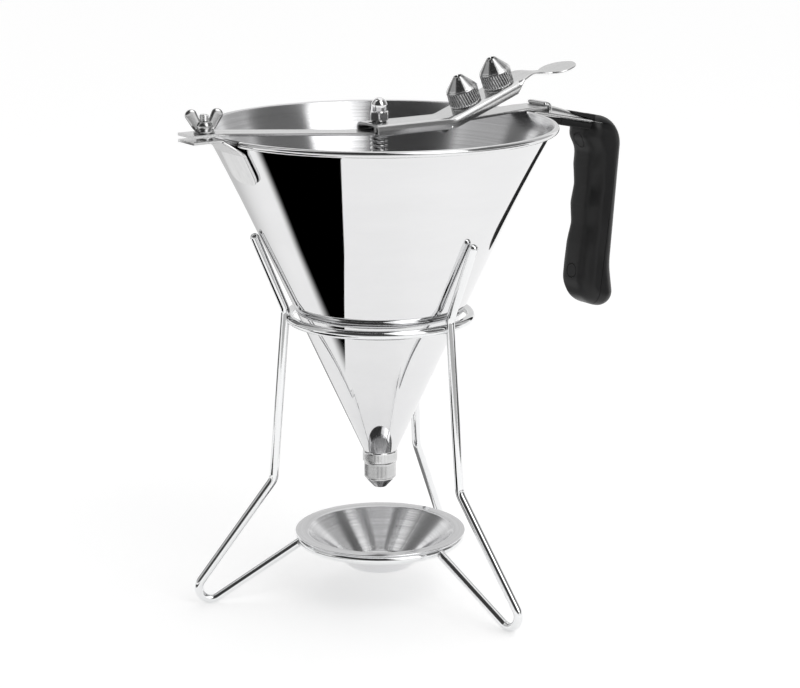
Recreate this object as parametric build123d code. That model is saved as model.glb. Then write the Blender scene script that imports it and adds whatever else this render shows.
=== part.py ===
from build123d import *
import math
import os

# Confectionery funnel: a sheet hopper with a sprung needle valve, in a wire stand over a drip bowl.
# Millimetres. +Z is up, +X runs along the cross bar to the grip, the origin is on the table
# below the nozzle.

# Hopper
rim_radius = 95.0  # outside of the rolled rim
rim_height = 254.0  # middle of the rolled rim
rim_bead = 3.4  # diameter of the rolled rim
rim_step = 2.4  # from the straight wall out to the rolled rim
flare_drop = 2.2  # where the wall turns out, below the middle of the rim
flare_bend = 2.0
hopper_wall = 0.8
hopper_slope = 24.7  # degrees from the axis

# Spout and nozzles
spout_radius = 9.3
spout_land = 0.55  # width of the spout's top edge outside the hopper
spout_height = 5.8
spout_seat = 2.1  # how far the hopper sits in the spout
neck_radius = 6.7
neck_length = 6.1
spout_bore = 4.6
thread_gap = 0.3
nozzle_radius = 8.55
nozzle_skirt = 8.1
nozzle_cone = 7.7
nozzle_tip = 2.2
nozzle_cup = 6.8
nozzle_gap = 0.15  # between the nozzle's open end and the shoulder it faces
nozzle_edge = 0.5
outlet_radius = 1.6
outlet_length = 2.0

# Valve rod, nut and spring
rod_radius = 3.0
rod_fit = 0.1
needle_tip = 1.0
needle_gap = 0.05
nut_flats = 9.2
nut_hex = 5.5
nut_bevel = 0.25
nut_crown_bevel = 0.9
nut_dome = 4.2
nut_crown = 2.4  # straight part of the cap below its dome
nut_gap = 0.08  # between the nut and the lever at rest
rod_in_nut = 7.5
spring_wire = 1.2
spring_mean = 4.15
spring_pitch = 2.2
spring_turns = 14
spring_gap = 0.2
collar_radius = 6.0
collar_height = 3.0

# Cross bar and pivot
bar_width = 16.0
bar_sheet = 1.5
bar_sink = 4.8  # the bar's lowest underside below the top of the rim
bar_flat = 6.5
bar_rest = 0.2  # the bar's underside above the rim on the grip's side
bar_end = 10.0  # how far the bar passes the rim on the grip's side
bar_shelf = 4.0  # where the bar turns down, outside the rim on the stud's side
bar_bend = 8.0
pivot_x = 40.0
pivot_drop = 1.55  # pin below the underside of the bar
pin_radius = 1.25
pin_fit = 0.1
pin_proud = 0.4
lug_width = 6.0
lug_depth = 5.2
lug_round = 2.4

# Lever
lever_width = 21.0
lever_sheet = 1.2
lever_top = 5.6  # top of the lever above the lowest underside of the bar
lever_start = -7.2
lever_bend_x = 40.5
lever_angle = 20.0
lever_bend = 14.0
lever_arm_end = 95.0
lever_tip = 128.2
lever_shoulder = 3.2
lever_flange = 6.0
lever_ear = 2.7
flange_run = 53.0
flange_back = 9.5
slot_back = 5.6
slot_front = 3.5
slot_width = 6.7
shoulder_run = 7.0  # half the length of the round shoulder at the end of the flanges
shoulder_spread = 1.8
neck_half = 4.6
neck_run = 15.0  # from the middle of the tab back to the narrowest part of the neck
tab_radius = 10.3
tab_run = 9.0  # from the middle of the tab back to where the neck widens into it
tab_spread = 1.9
tab_lap = 14.0
tab_bend = 18.0
tab_dip = 1.2  # the neck falls by this much before the tab rises
tab_dip_x = 110.0
tab_dip_bend = 25.0
tab_rise = 13.0
peg_runs = (16.4, 39.7)
peg_height = 6.0

# Brackets, stud and wing nut
strip_width = 16.0
front_sheet = 1.5
front_rise = 1.3  # top of the flange above the rim
front_reach = 20.5  # end of the flange outside the rim
front_leg_width = 23.0
front_leg_corner = 10.0
front_taper = 8.0  # over which the strip widens from the flange to the leg
strip_drop = 22.0  # lower end of the welded leg below the middle of the rim
joggle_angle = 40.0
bead_gap = 0.1
strip_bend = 3.0
strip_corner = 6.0
stud_reach = 10.0
stud_radius = 2.5
stud_height = 12.2
stud_edge = 0.6
shoulder_radius = 4.3
shoulder_height = 1.6
stud_hole_fit = 0.2
wing_fit = 0.1
wing_gap = 0.06
wing_foot = 5.5
wing_foot_height = 0.9
wing_hub_low = 4.4
wing_hub_high = 3.4
wing_hub_height = 6.0
wing_offset = 5.3
wing_level = 6.2
wing_edge = 0.6
wing_sheet = 2.2
wing_width = 5.4
wing_length = 11.0
wing_lean = 28.0
wing_turn = -15.0

# Handle bracket and grip
tang_sheet = 2.0
tang_width = 16.0
tang_rise = 0.3  # middle of the tang's top bend above the middle of the rim
tang_slope = 11.5
tang_bend = 8.0
tang_short = 11.0  # from the end of the tang to the bottom of the grip
hood_width = 14.0
hood_lip = 1.0
hood_gap = 0.15
hood_back = 1.0
hood_overlap = 3.0
hood_length = 33.0
hood_swell = 1.6
hood_corner = 3.8
grip_reach = 53.0  # grip's axis outside the rim, at grip_level
grip_level = 20.0  # below the middle of the rim
grip_lean = 5.0
grip_thick = 20.4
grip_width = 24.8
grip_length = 93.0
grip_cover = 3.9
grip_step = 4.2  # end face of the outer half, inside the line of the grip's inner side
grip_root = 7.0
grip_root_height = 13.0
grip_root_radius = 8.5
grip_root_run = 6.0
grip_root_bend = 10.0
grip_round = 8.0
grip_top_radius = 18.0
grip_heel_radius = 9.0
grip_toe_radius = 11.0
grip_flare = 3.5  # how far the heel stands out
grip_flare_run = 24.0
grip_flare_bend = 40.0
wave_height = 1.0
wave_bend = 20.0
wave_stop = 13.0  # from the last wave to the bottom of the grip
wave_count = 3
wave_start = 14.0
tongue_length = 24.0
tongue_sheet = 3.6
tongue_width = 18.0
tongue_lap = 4.0
tongue_bevel = 1.0
screw_high = 0.0  # upper screw, below grip_level
screw_low = 19.5  # lower screw, above the bottom of the grip
screw_radius = 1.9
screw_head = 3.4
screw_head_height = 2.4
screw_head_depth = 5.5
screw_reach = 6.0
plug_radius = 4.0

# Stand and drip bowl
wire_dia = 4.8
foot_flat = 0.2
ring_height = 153.8
ring_clear = 2.7  # between the hopper and the upper ring
weld_sink = 1.8  # how far a leg's wire is welded into the upper ring
leg_lean = 4.7
knee_high = 159.0
knee_low = 67.0
leg_top = 198.6
leg_rest = 0.3
foot_reach = 100.0
foot_radius = 6.8
knee_bend = 9.0
base_height = 31.2
base_radius = 43.3
leg_angles = {"leg_left": 159.0, "leg_right": -79.0, "leg_rear": 35.0}
bowl_sheet = 0.8
bowl_lap = 2.3  # the flange passes the middle of the base ring by this much
bowl_clear = 1.1  # between the bowl's mouth and the base ring
bowl_bottom = 16.3
bowl_depth = 19.8
bowl_rest = 0.2
bowl_bend = 7.0
bowl_lip_bend = 2.0


def polar(length, degrees):
    """Point at this distance from the origin, in this direction."""
    return (length * math.cos(math.radians(degrees)), length * math.sin(math.radians(degrees)))


def moved(point, direction, distance):
    """Point moved along a direction by a distance."""
    return (point[0] + direction[0] * distance, point[1] + direction[1] * distance)


def unit(start, end):
    """Direction of length one from start to end."""
    length = math.dist(start, end)
    return ((end[0] - start[0]) / length, (end[1] - start[1]) / length)


def crossing(p, u, q, v):
    """Point where the line through p along u meets the line through q along v."""
    det = u[0] * v[1] - u[1] * v[0]
    along = ((q[0] - p[0]) * v[1] - (q[1] - p[1]) * v[0]) / det
    return moved(p, u, along)


def upright(point):
    """Point of the XZ plane in space."""
    return Vector(point[0], 0, point[1])


def side_line(points, distance):
    """The bent line moved to its left by a distance, with mitred corners."""
    runs = [unit(a, b) for a, b in zip(points, points[1:])]
    normals = [(-u[1], u[0]) for u in runs]
    result = [moved(points[0], normals[0], distance)]
    for point, m, n in zip(points[1:], normals, normals[1:]):
        share = 1 + m[0] * n[0] + m[1] * n[1]
        result.append(moved(point, (m[0] + n[0], m[1] + n[1]), distance / share))
    result.append(moved(points[-1], normals[-1], distance))
    return result


def turns_left(a, b, c):
    """True where the line a, b, c bends to its left."""
    u = unit(a, b)
    v = unit(b, c)
    return u[0] * v[1] - u[1] * v[0] > 0


def bent_edges(points, radii):
    """Straight runs and arcs of a bent line; radii has one entry per inner corner."""
    edges = []
    start = points[0]
    for before, corner, after, radius in zip(points, points[1:], points[2:], radii):
        u = unit(corner, before)
        v = unit(corner, after)
        half = math.acos(u[0] * v[0] + u[1] * v[1]) / 2
        first = moved(corner, u, radius / math.tan(half))
        last = moved(corner, v, radius / math.tan(half))
        inward = unit(corner, moved(moved(corner, u, 1.0), v, 1.0))
        middle = moved(corner, inward, radius / math.sin(half) - radius)
        edges.append(Edge.make_line(upright(start), upright(first)))
        edges.append(Edge.make_three_point_arc(upright(first), upright(middle), upright(last)))
        start = last
    edges.append(Edge.make_line(upright(start), upright(points[-1])))
    return edges


def closed_face(edges):
    """Face inside a closed chain of edges."""
    return Face(Wire(edges))


def strip_face(points, radii, sheet):
    """Side view of a bent strip whose middle line runs through points with these bend radii."""
    bends = list(zip(points, points[1:], points[2:], radii))
    left_radii = [r - sheet / 2 if turns_left(a, b, c) else r + sheet / 2 for a, b, c, r in bends]
    right_radii = [2 * r - q for r, q in zip(radii, left_radii)]
    left = side_line(points, sheet / 2)
    right = side_line(points, -sheet / 2)
    edges = bent_edges(left, left_radii) + bent_edges(right, right_radii)
    edges.append(Edge.make_line(upright(left[0]), upright(right[0])))
    edges.append(Edge.make_line(upright(left[-1]), upright(right[-1])))
    return closed_face(edges)


def outline_face(points):
    """Face in the XZ plane inside straight edges through points."""
    return closed_face([Edge.make_line(upright(a), upright(b)) for a, b in zip(points, points[1:] + points[:1])])


def slab(face, width):
    """Face of the XZ plane made into a body of this width, half on each side."""
    return extrude(face, amount=width / 2, dir=(0, 1, 0), both=True)


def turned(points):
    """Body of revolution about Z of an outline given as radius and height."""
    return revolve(outline_face(points), Axis.Z)


def cross_pin(point, radius, length):
    """Cylinder along Y with its middle at a point of the XZ plane."""
    return Pos(point[0], 0, point[1]) * Rot(90, 0, 0) * Cylinder(radius, length)


def save(body, name):
    """Write one node."""
    body.label = name
    export_step(body, "parts/" + name + ".step")


os.makedirs("parts", exist_ok=True)

slope = math.radians(hopper_slope)
wire_radius = wire_dia / 2
rim_top = rim_height + rim_bead / 2
rim_middle = (rim_radius - rim_bead / 2, rim_height)
wall_top_radius = rim_radius - rim_bead - rim_step
wall_across = hopper_wall / math.cos(slope)


def hopper_radius(height):
    """Outside radius of the straight wall of the hopper."""
    return wall_top_radius + (height - rim_height) * math.tan(slope)


# Hopper: a bent strip turned about the axis, with the rolled rim at its end
collar_top = rim_height - (wall_top_radius - spout_radius + spout_land) / math.tan(slope)
seat_height = collar_top - spout_seat
flare_height = rim_height - flare_drop
hopper_line = [
    (hopper_radius(seat_height - spout_seat) - wall_across / 2, seat_height - spout_seat),
    (hopper_radius(flare_height) - wall_across / 2, flare_height),
    rim_middle,
]
hopper = revolve(strip_face(hopper_line, [flare_bend], hopper_wall), Axis.Z)
hopper += Pos(0, 0, rim_height) * Torus(rim_middle[0], rim_bead / 2)
hopper -= Pos(0, 0, seat_height - spout_height) * Cylinder(spout_radius, 2 * spout_height)
save(hopper, "hopper")

# Spout: collar with a seat for the hopper and a neck for the nozzle
collar_bottom = collar_top - spout_height
neck_bottom = collar_bottom - neck_length
seat_radius = hopper_radius(seat_height)
spout = turned([
    (spout_radius, collar_top),
    (spout_radius, collar_bottom),
    (neck_radius, collar_bottom),
    (neck_radius, neck_bottom),
    (spout_bore, neck_bottom),
    (seat_radius - wall_across, seat_height),
    (seat_radius, seat_height),
    (hopper_radius(collar_top), collar_top),
])
save(spout, "spout")

# Nozzle, with its open end at the origin and its tip up
cup_radius = neck_radius + thread_gap
nozzle_length = nozzle_skirt + nozzle_cone
nozzle_blank = turned([
    (cup_radius, 0),
    (nozzle_radius - nozzle_edge, 0),
    (nozzle_radius, nozzle_edge),
    (nozzle_radius, nozzle_skirt),
    (nozzle_tip, nozzle_length),
    (outlet_radius, nozzle_length),
    (outlet_radius, nozzle_length - outlet_length),
    (spout_bore, nozzle_cup),
    (cup_radius, nozzle_cup),
])
nozzle_height = collar_bottom - nozzle_gap
nozzle = Pos(0, 0, nozzle_height) * Rot(180, 0, 0) * nozzle_blank
save(nozzle, "nozzle")

# Cross bar: dips to the rod, rests on the shoulder of the stud and, at the other end, above the rim
bar_low = rim_top - bar_sink
bar_high = rim_top + front_rise + shoulder_height
bar_tilt = (bar_sink + bar_rest) / (rim_middle[0] - bar_flat)
bar_stop = rim_radius + bar_end


def bar_under(x):
    """Height of the bar's underside on the grip's side of the rod."""
    return bar_low + (x - bar_flat) * bar_tilt


half_bar = bar_sheet / 2
bar_level = bar_under(rim_middle[0])
bar_line = [
    (-rim_radius - front_reach, bar_high + half_bar),
    (-rim_radius - bar_shelf, bar_high + half_bar),
    (-bar_flat, bar_low + half_bar),
    (bar_flat, bar_low + half_bar),
    (rim_middle[0], bar_level + half_bar),
    (bar_stop, bar_level + half_bar),
]
cross_bar = slab(strip_face(bar_line, [bar_bend] * 4, bar_sheet), bar_width)
cross_bar -= Pos(0, 0, bar_low) * Cylinder(rod_radius + rod_fit, 4 * bar_sheet)
stud_x = -rim_radius - stud_reach
cross_bar -= Pos(stud_x, 0, bar_high) * Cylinder(stud_radius + stud_hole_fit, 4 * bar_sheet)
save(cross_bar, "cross_bar")

# Pivot lug under the bar, with a round lower end, and the pin
pivot = (pivot_x, bar_under(pivot_x) - pivot_drop)
lug_left = pivot_x - lug_width / 2
lug_right = pivot_x + lug_width / 2
lug_low = bar_under(pivot_x) - lug_depth
pivot_lug = slab(outline_face([
    (lug_left, bar_under(lug_left)),
    (lug_right, bar_under(lug_right)),
    (lug_right, lug_low),
    (lug_left, lug_low),
]), lug_width)
pivot_lug = fillet(pivot_lug.edges().filter_by(Axis.Y).group_by(Axis.Z)[0], lug_round)
pivot_lug -= cross_pin(pivot, pin_radius + pin_fit, 2 * lug_width)
pivot_lug -= cross_bar
save(pivot_lug, "pivot_lug")
pivot_pin = cross_pin(pivot, pin_radius, lever_width + 2 * pin_proud)
save(pivot_pin, "pivot_pin")

# Lever: a channel bent up at the pivot, ending in a flat neck and a round tab
lever_height = bar_low + lever_top
arm_up = polar(1, lever_angle)
arm_out = polar(1, lever_angle + 90)
bend = (lever_bend_x, lever_height)
arm_end = moved(bend, arm_up, (lever_arm_end - lever_bend_x) / arm_up[0])
flange_top = moved(bend, arm_up, flange_run)
lever_first = (lever_start, lever_height)


def channel_blank(sink, narrow, depth):
    """Filled channel: top line lowered by sink, each side moved in by narrow, this deep below the top."""
    middle = side_line([lever_first, bend, arm_end], -(sink + depth) / 2)
    body = slab(strip_face(middle, [lever_bend], depth - sink), lever_width - 2 * narrow)
    top = body.edges().filter_by(lambda e: abs(abs(e.center().Y) - lever_width / 2 + narrow) < 0.01)
    level = side_line([lever_first, bend, arm_end], -(sink + depth) / 2)
    run = unit(level[1], level[2])

    def above(edge):
        c = edge.center()
        rise = (c.X - level[1][0]) * -run[1] + (c.Z - level[1][1]) * run[0]
        return c.Z > level[0][1] + 0.2 and (c.X < bend[0] - 4 or rise > 0.2)

    along = [e for e in top if above(e) and e.length > (depth - sink) * 1.2]
    bends = [e for e in top if above(e) and e.geom_type == GeomType.CIRCLE]
    chosen = along + [e for e in bends if e not in along]
    return fillet(chosen, lever_shoulder - narrow)


lever = channel_blank(0, 0, lever_flange) - channel_blank(lever_sheet, lever_sheet, lever_flange + 1)
cut_low = moved(moved(flange_top, arm_up, -flange_back), arm_out, -lever_flange - lever_sheet)
lever -= slab(outline_face([
    moved(flange_top, arm_out, lever_sheet),
    flange_top,
    cut_low,
    moved(cut_low, arm_out, -lever_flange),
    moved(cut_low, arm_up, flange_run),
    moved(flange_top, arm_up, flange_run),
]), 2 * lever_width)

# The neck and tab are one strip cut to a plan outline
tab_low = (tab_dip_x, arm_end[1] - tab_dip)
tab_stop = moved(tab_low, polar(1, tab_rise), lever_tip - tab_dip_x + tab_radius)
tab_line = side_line([bend, arm_end, tab_low, tab_stop], -lever_sheet / 2)
tab_first = moved(tab_line[1], arm_up, -tab_lap)
tab_strip = slab(strip_face([tab_first] + tab_line[1:], [tab_bend, tab_dip_bend], lever_sheet), lever_width)
tab_x = lever_tip - tab_radius
flat_half = lever_width / 2 - lever_shoulder
end_x = flange_top[0]
plan = [
    (end_x - shoulder_run, flat_half),
    (end_x, flat_half + shoulder_spread),
    (end_x + shoulder_run, flat_half),
    (tab_x - neck_run, neck_half),
    (tab_x - tab_run, neck_half + tab_spread),
]
upper = Edge.make_spline([Vector(x, y, 0) for x, y in plan])
lower = Edge.make_spline([Vector(x, -y, 0) for x, y in plan])
first_edge = Edge.make_line(Vector(plan[0][0], plan[0][1], 0), Vector(plan[0][0], -plan[0][1], 0))
last_edge = Edge.make_line(Vector(plan[-1][0], plan[-1][1], 0), Vector(plan[-1][0], -plan[-1][1], 0))
neck_prism = extrude(closed_face([upper, last_edge, lower, first_edge]), amount=2 * rim_height, dir=(0, 0, 1))
plan_prism = neck_prism + Pos(tab_x, 0, rim_height) * Cylinder(tab_radius, 2 * rim_height)
lever += tab_strip & plan_prism
for side in (-1, 1):
    ear_y = side * (lever_width - lever_sheet) / 2
    ear = Pos(pivot[0], ear_y, pivot[1]) * Rot(90, 0, 0) * Cylinder(lever_ear, lever_sheet)
    lever += ear
lever -= cross_pin(pivot, pin_radius, 2 * lever_width)
slot_length = slot_back + slot_front
lever -= Pos((slot_front - slot_back) / 2, 0, lever_height) * Box(slot_length, slot_width, 4 * lever_sheet)
save(lever, "lever")

# Pegs on the arm, and the spare nozzles on them
for name, run in zip("ab", peg_runs):
    foot = moved(bend, arm_up, run)
    place = Pos(foot[0], 0, foot[1]) * Rot(0, -lever_angle, 0)
    save(place * Pos(0, 0, peg_height / 2) * Cylinder(neck_radius, peg_height), "nozzle_peg_" + name)
    save(place * Pos(0, 0, nozzle_gap) * nozzle_blank, "spare_nozzle_" + name)

# Valve rod: its needle follows the cone inside the nozzle
nut_low = lever_height + nut_gap
seat_low = nozzle_height - nozzle_length + outlet_length
seat_taper = (spout_bore - outlet_radius) / (nozzle_length - outlet_length - nozzle_cup)
needle_across = needle_gap * math.sqrt(1 + seat_taper * seat_taper)
needle_top = seat_low + (rod_radius + needle_across - outlet_radius) / seat_taper
needle_low = needle_top - (rod_radius - needle_tip) / seat_taper
valve_rod = turned([
    (0, needle_low),
    (needle_tip, needle_low),
    (rod_radius, needle_top),
    (rod_radius, nut_low + rod_in_nut),
    (0, nut_low + rod_in_nut),
])
save(valve_rod, "valve_rod")

# Acorn nut: a hexagon with a bevelled lower face and a domed cap
hexagon = extrude(RegularPolygon(nut_flats / 2, 6, major_radius=False), amount=nut_hex)
bevel = turned([
    (0, 0),
    (nut_flats / 2 - nut_bevel, 0),
    (nut_flats, nut_flats / 2 + nut_bevel),
    (nut_flats, nut_hex - nut_crown_bevel),
    (nut_flats / 2, nut_hex),
    (0, nut_hex),
])
cap = Pos(0, 0, nut_hex + nut_crown / 2) * Cylinder(nut_dome, nut_crown)
dome = Pos(0, 0, nut_hex + nut_crown) * Sphere(nut_dome)
cap += dome & Pos(0, 0, nut_hex + 2 * nut_dome) * Box(4 * nut_dome, 4 * nut_dome, 4 * nut_dome)
acorn_nut = Pos(0, 0, nut_low) * ((hexagon & bevel) + cap)
acorn_nut -= Pos(0, 0, nut_low + rod_in_nut / 2) * Cylinder(rod_radius, rod_in_nut)
save(acorn_nut, "acorn_nut")

# Spring: one wire wound on the rod, each quarter turn two arcs that share their tangents
spring_top = bar_low - spring_gap - spring_wire / 2
spring_rise = -spring_pitch / (2 * math.pi)


def spring_point(turn):
    """Middle of the wire after this angle in radians, from the top down."""
    return Vector(spring_mean * math.cos(turn), spring_mean * math.sin(turn), spring_top + spring_rise * turn)


def spring_course(turn):
    """Direction of the wire after this angle."""
    across = Vector(-spring_mean * math.sin(turn), spring_mean * math.cos(turn), spring_rise)
    return across.normalized()


spring_edges = []
quarters = 4 * spring_turns
for quarter in range(quarters):
    a = spring_point(quarter * math.pi / 2)
    b = spring_point((quarter + 1) * math.pi / 2)
    ta = spring_course(quarter * math.pi / 2)
    tb = spring_course((quarter + 1) * math.pi / 2)
    chord = b - a
    both = ta + tb
    bow = 2 * (1 - ta.dot(tb))
    reach = (math.sqrt(chord.dot(both) ** 2 + bow * chord.dot(chord)) - chord.dot(both)) / bow
    qa = a + ta * reach
    qb = b - tb * reach
    joint = (qa + qb) * 0.5
    spring_edges.append(Edge.make_tangent_arc(a, ta, joint))
    spring_edges.append(Edge.make_tangent_arc(joint, (qb - qa).normalized(), b))
spring_path = Wire(spring_edges)
wire_plane = Plane(origin=spring_point(0), z_dir=spring_course(0))
spring = sweep(wire_plane * Circle(spring_wire / 2), path=spring_path)
save(spring, "spring")
steps = 48
points = [spring_point(2 * math.pi * i / steps) for i in range(spring_turns * steps + 1)]
apart = [(p - q).length for i, p in enumerate(points) for q in points[i + steps // 2:i + 2 * steps]]
print("spring: least gap to itself", round(min(apart) - spring_wire, 3), "mm")

# Collar that the spring pushes on
collar_seat = spring_top + spring_rise * 2 * math.pi * spring_turns - spring_wire / 2
ring_blank = Cylinder(collar_radius, collar_height) - Cylinder(rod_radius, collar_height)
spring_collar = Pos(0, 0, collar_seat - collar_height / 2) * ring_blank
save(spring_collar, "spring_collar")


def welded_leg(sheet, level):
    """Middle line of a strip: up the hopper's wall, out past the rim, to its turn at this height."""
    low_height = rim_height - strip_drop
    low = (hopper_radius(low_height) + sheet / 2 / math.cos(slope), low_height)
    up_wall = (math.sin(slope), math.cos(slope))
    out = polar(1, joggle_angle)
    below = polar(1, joggle_angle - 90)
    passing = moved(rim_middle, below, rim_bead / 2 + sheet / 2 + bead_gap)
    knee = crossing(low, up_wall, passing, out)
    turn = crossing(passing, out, (0, level), (1, 0))
    return [low, knee, turn]


def rounded_foot(body, sheet, corner):
    """Strip with the two corners at the lower end of its welded leg rounded."""
    short = [e for e in body.edges() if abs(e.length - sheet) < 0.001 and abs(e.center().Y) > sheet]
    return fillet(sorted(short, key=lambda e: e.center().Z)[:2], corner)


# Front bracket, built on the grip's side and turned round, with its stud
flange_middle = rim_top + front_rise - front_sheet / 2
front_line = welded_leg(front_sheet, flange_middle) + [(rim_radius + front_reach, flange_middle)]
front_bracket = slab(strip_face(front_line, [strip_bend] * 2, front_sheet), front_leg_width)
front_bracket = rounded_foot(front_bracket, front_sheet, front_leg_corner)
flange_from = front_line[2][0]
for side in (-1, 1):
    spare = [
        (flange_from - front_taper, side * front_leg_width / 2),
        (flange_from, side * strip_width / 2),
        (rim_radius + 2 * front_reach, side * strip_width / 2),
        (rim_radius + 2 * front_reach, side * front_leg_width),
        (flange_from - front_taper, side * front_leg_width),
    ]
    rim = zip(spare, spare[1:] + spare[:1])
    spare_face = closed_face([Edge.make_line(Vector(*a, 0), Vector(*b, 0)) for a, b in rim])
    front_bracket -= extrude(spare_face, amount=2 * rim_height, dir=(0, 0, 1))
front_bracket = Rot(0, 0, 180) * front_bracket
front_bracket -= Pos(stud_x, 0, flange_middle) * Cylinder(stud_radius, 4 * front_sheet)
save(front_bracket, "front_bracket")
stud_low = flange_middle - front_sheet / 2
stud_top = bar_high + stud_height - shoulder_height
bracket_stud = Pos(stud_x, 0, 0) * turned([
    (0, stud_low),
    (stud_radius, stud_low),
    (stud_radius, stud_low + front_sheet),
    (shoulder_radius, stud_low + front_sheet),
    (shoulder_radius, bar_high),
    (stud_radius, bar_high),
    (stud_radius, stud_top - stud_edge),
    (stud_radius - stud_edge, stud_top),
    (0, stud_top),
])
save(bracket_stud, "bracket_stud")

# Wing nut: a hub on a broad foot, with two leaning wings
wing_hub = turned([
    (0, 0),
    (wing_foot, 0),
    (wing_foot, wing_foot_height),
    (wing_hub_low, wing_foot_height),
    (wing_hub_high, wing_hub_height),
    (0, wing_hub_height),
])
wing_nut = wing_hub
for side in (-1, 1):
    middle = Pos(side * wing_offset, 0, wing_level) * Rot(0, side * wing_lean - 90, 0)
    wing_face = middle * Rot(90, 0, 0) * SlotOverall(wing_length, wing_width)
    wing = extrude(wing_face, amount=wing_sheet / 2, dir=(0, 1, 0), both=True)
    wing_nut += fillet(wing.edges(), wing_edge)
wing_nut -= Pos(0, 0, wing_length) * Cylinder(stud_radius + wing_fit, 3 * wing_length)
wing_nut = Pos(stud_x, 0, bar_high + bar_sheet + wing_gap) * Rot(0, 0, wing_turn) * wing_nut
save(wing_nut, "wing_nut")

# Handle bracket: welded leg, sloping arm, and a tang down the middle of the grip
grip_middle = (rim_radius + grip_reach, rim_height - grip_level)
grip_down = polar(1, 270 - grip_lean)
grip_out = polar(1, -grip_lean)
tang_down = polar(1, -tang_slope)
tang_up = polar(1, 90 - tang_slope)
tang_start = welded_leg(tang_sheet, rim_height + tang_rise)
elbow = crossing(tang_start[-1], tang_down, grip_middle, grip_down)
tang_line = tang_start + [elbow, moved(grip_middle, grip_down, grip_length - tang_short)]
tang_bends = [strip_bend, strip_bend, tang_bend]
handle_bracket = slab(strip_face(tang_line, tang_bends, tang_sheet), tang_width)
handle_bracket = rounded_foot(handle_bracket, tang_sheet, strip_corner)


def tang_top(x):
    """Height of the upper face of the sloping arm."""
    top_line = moved(tang_start[-1], tang_up, tang_sheet / 2)
    return crossing(top_line, tang_down, (x, 0), (0, 1))[1]


# The hood on the arm, whose lip reaches over the end of the bar
hood_under = bar_level + bar_sheet + hood_gap
hood_mouth = bar_stop - hood_overlap
hood_wall = bar_stop + hood_back
hood_stop = hood_mouth + hood_length
lip_top = (hood_mouth, hood_under + hood_lip)
hood_low = (hood_stop, tang_top(hood_stop))
crown = moved(((lip_top[0] + hood_low[0]) / 2, (lip_top[1] + hood_low[1]) / 2), (0, 1), hood_swell)
hood_ends = [hood_low, (hood_wall, tang_top(hood_wall) - tang_sheet / 2), (hood_wall, hood_under),
             (hood_mouth, hood_under), lip_top]
hood_edges = [Edge.make_line(upright(a), upright(b)) for a, b in zip(hood_ends, hood_ends[1:])]
hood_edges.append(Edge.make_three_point_arc(upright(lip_top), upright(crown), upright(hood_low)))
hood = slab(closed_face(hood_edges), hood_width)
lip_edges = hood.edges().filter_by(Axis.Z).group_by(Axis.X)[0]
hood = fillet(lip_edges, hood_corner)
handle_bracket += hood

# Grip blank: a closed outline in the bar's plane, with finger waves on its inner side
half_grip = grip_thick / 2


def grip_point(run, side):
    """Point this far down the grip's axis and this far out from it."""
    return moved(moved(grip_middle, grip_down, run), grip_out, side)


top_run = moved(elbow, tang_up, grip_cover)
corner_in = crossing(top_run, tang_down, grip_point(0, -half_grip - grip_root), grip_down)
corner_out = crossing(top_run, tang_down, grip_point(0, half_grip), grip_down)
outer_middle = grip_point(grip_length / 3, half_grip)
flare_from = grip_point(grip_length - grip_flare_run, half_grip)
heel = grip_point(grip_length, half_grip + grip_flare)
toe = grip_point(grip_length, -half_grip)
grip_line = [outer_middle, flare_from, heel, toe]
grip_bends = [grip_flare_bend, grip_heel_radius, grip_toe_radius]
wave_pitch = (grip_length - wave_start - wave_stop) / wave_count
for index in range(2 * wave_count, -1, -1):
    swell = wave_height * (index % 2)
    grip_line.append(grip_point(wave_start + index * wave_pitch / 2, -half_grip - swell))
    grip_bends.append(wave_bend)
grip_line.append(grip_point(grip_root_run, -half_grip))
grip_line.append(moved(corner_in, grip_down, grip_root_height))
grip_line += [corner_in, corner_out, outer_middle]
grip_bends += [grip_root_bend, grip_root_radius, grip_root_radius, grip_top_radius]
grip_blank = slab(closed_face(bent_edges(grip_line, grip_bends)), grip_width)
long_edges = [e for e in grip_blank.edges() if abs(abs(e.center().Y) - grip_width / 2) < 0.01]
grip_blank = fillet(long_edges, grip_round)

# The halves part along the middle of the tang
split_line = [
    moved(elbow, tang_down, -grip_reach),
    elbow,
    moved(grip_middle, grip_down, grip_length + grip_thick),
]
split_ends = [
    split_line[0],
    moved(split_line[0], (0, 1), grip_length),
    moved(split_line[2], (1, 0), 2 * grip_length),
    split_line[2],
]
split_edges = bent_edges(split_line, [tang_bend])
split_edges += [Edge.make_line(upright(a), upright(b)) for a, b in zip(split_ends, split_ends[1:])]
outside = slab(closed_face(split_edges), 2 * grip_width)
step_top = grip_point(-grip_length, -half_grip - grip_step)
step_low = grip_point(grip_length, -half_grip - grip_step)
step_side = slab(outline_face([
    step_top,
    step_low,
    moved(step_low, (-1, 0), grip_reach),
    moved(step_top, (-1, 0), grip_reach),
]), 2 * grip_width)
grip_outer = (grip_blank & outside) - step_side - handle_bracket
tongue_top = side_line([tang_start[-1], elbow], -tang_sheet / 2)
tongue_low = side_line([tang_start[-1], elbow], -tang_sheet / 2 - tongue_sheet)
reach_in = math.dist(tang_start[-1], elbow) - half_grip - tongue_length
tongue = slab(outline_face([
    moved(tongue_top[0], tang_down, reach_in),
    moved(tongue_top[1], tang_down, -tongue_lap),
    moved(tongue_low[1], tang_down, -tongue_lap),
    moved(tongue_low[0], tang_down, reach_in + tongue_bevel),
]), tongue_width)
grip_inner = (grip_blank - outside) + tongue - handle_bracket

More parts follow.
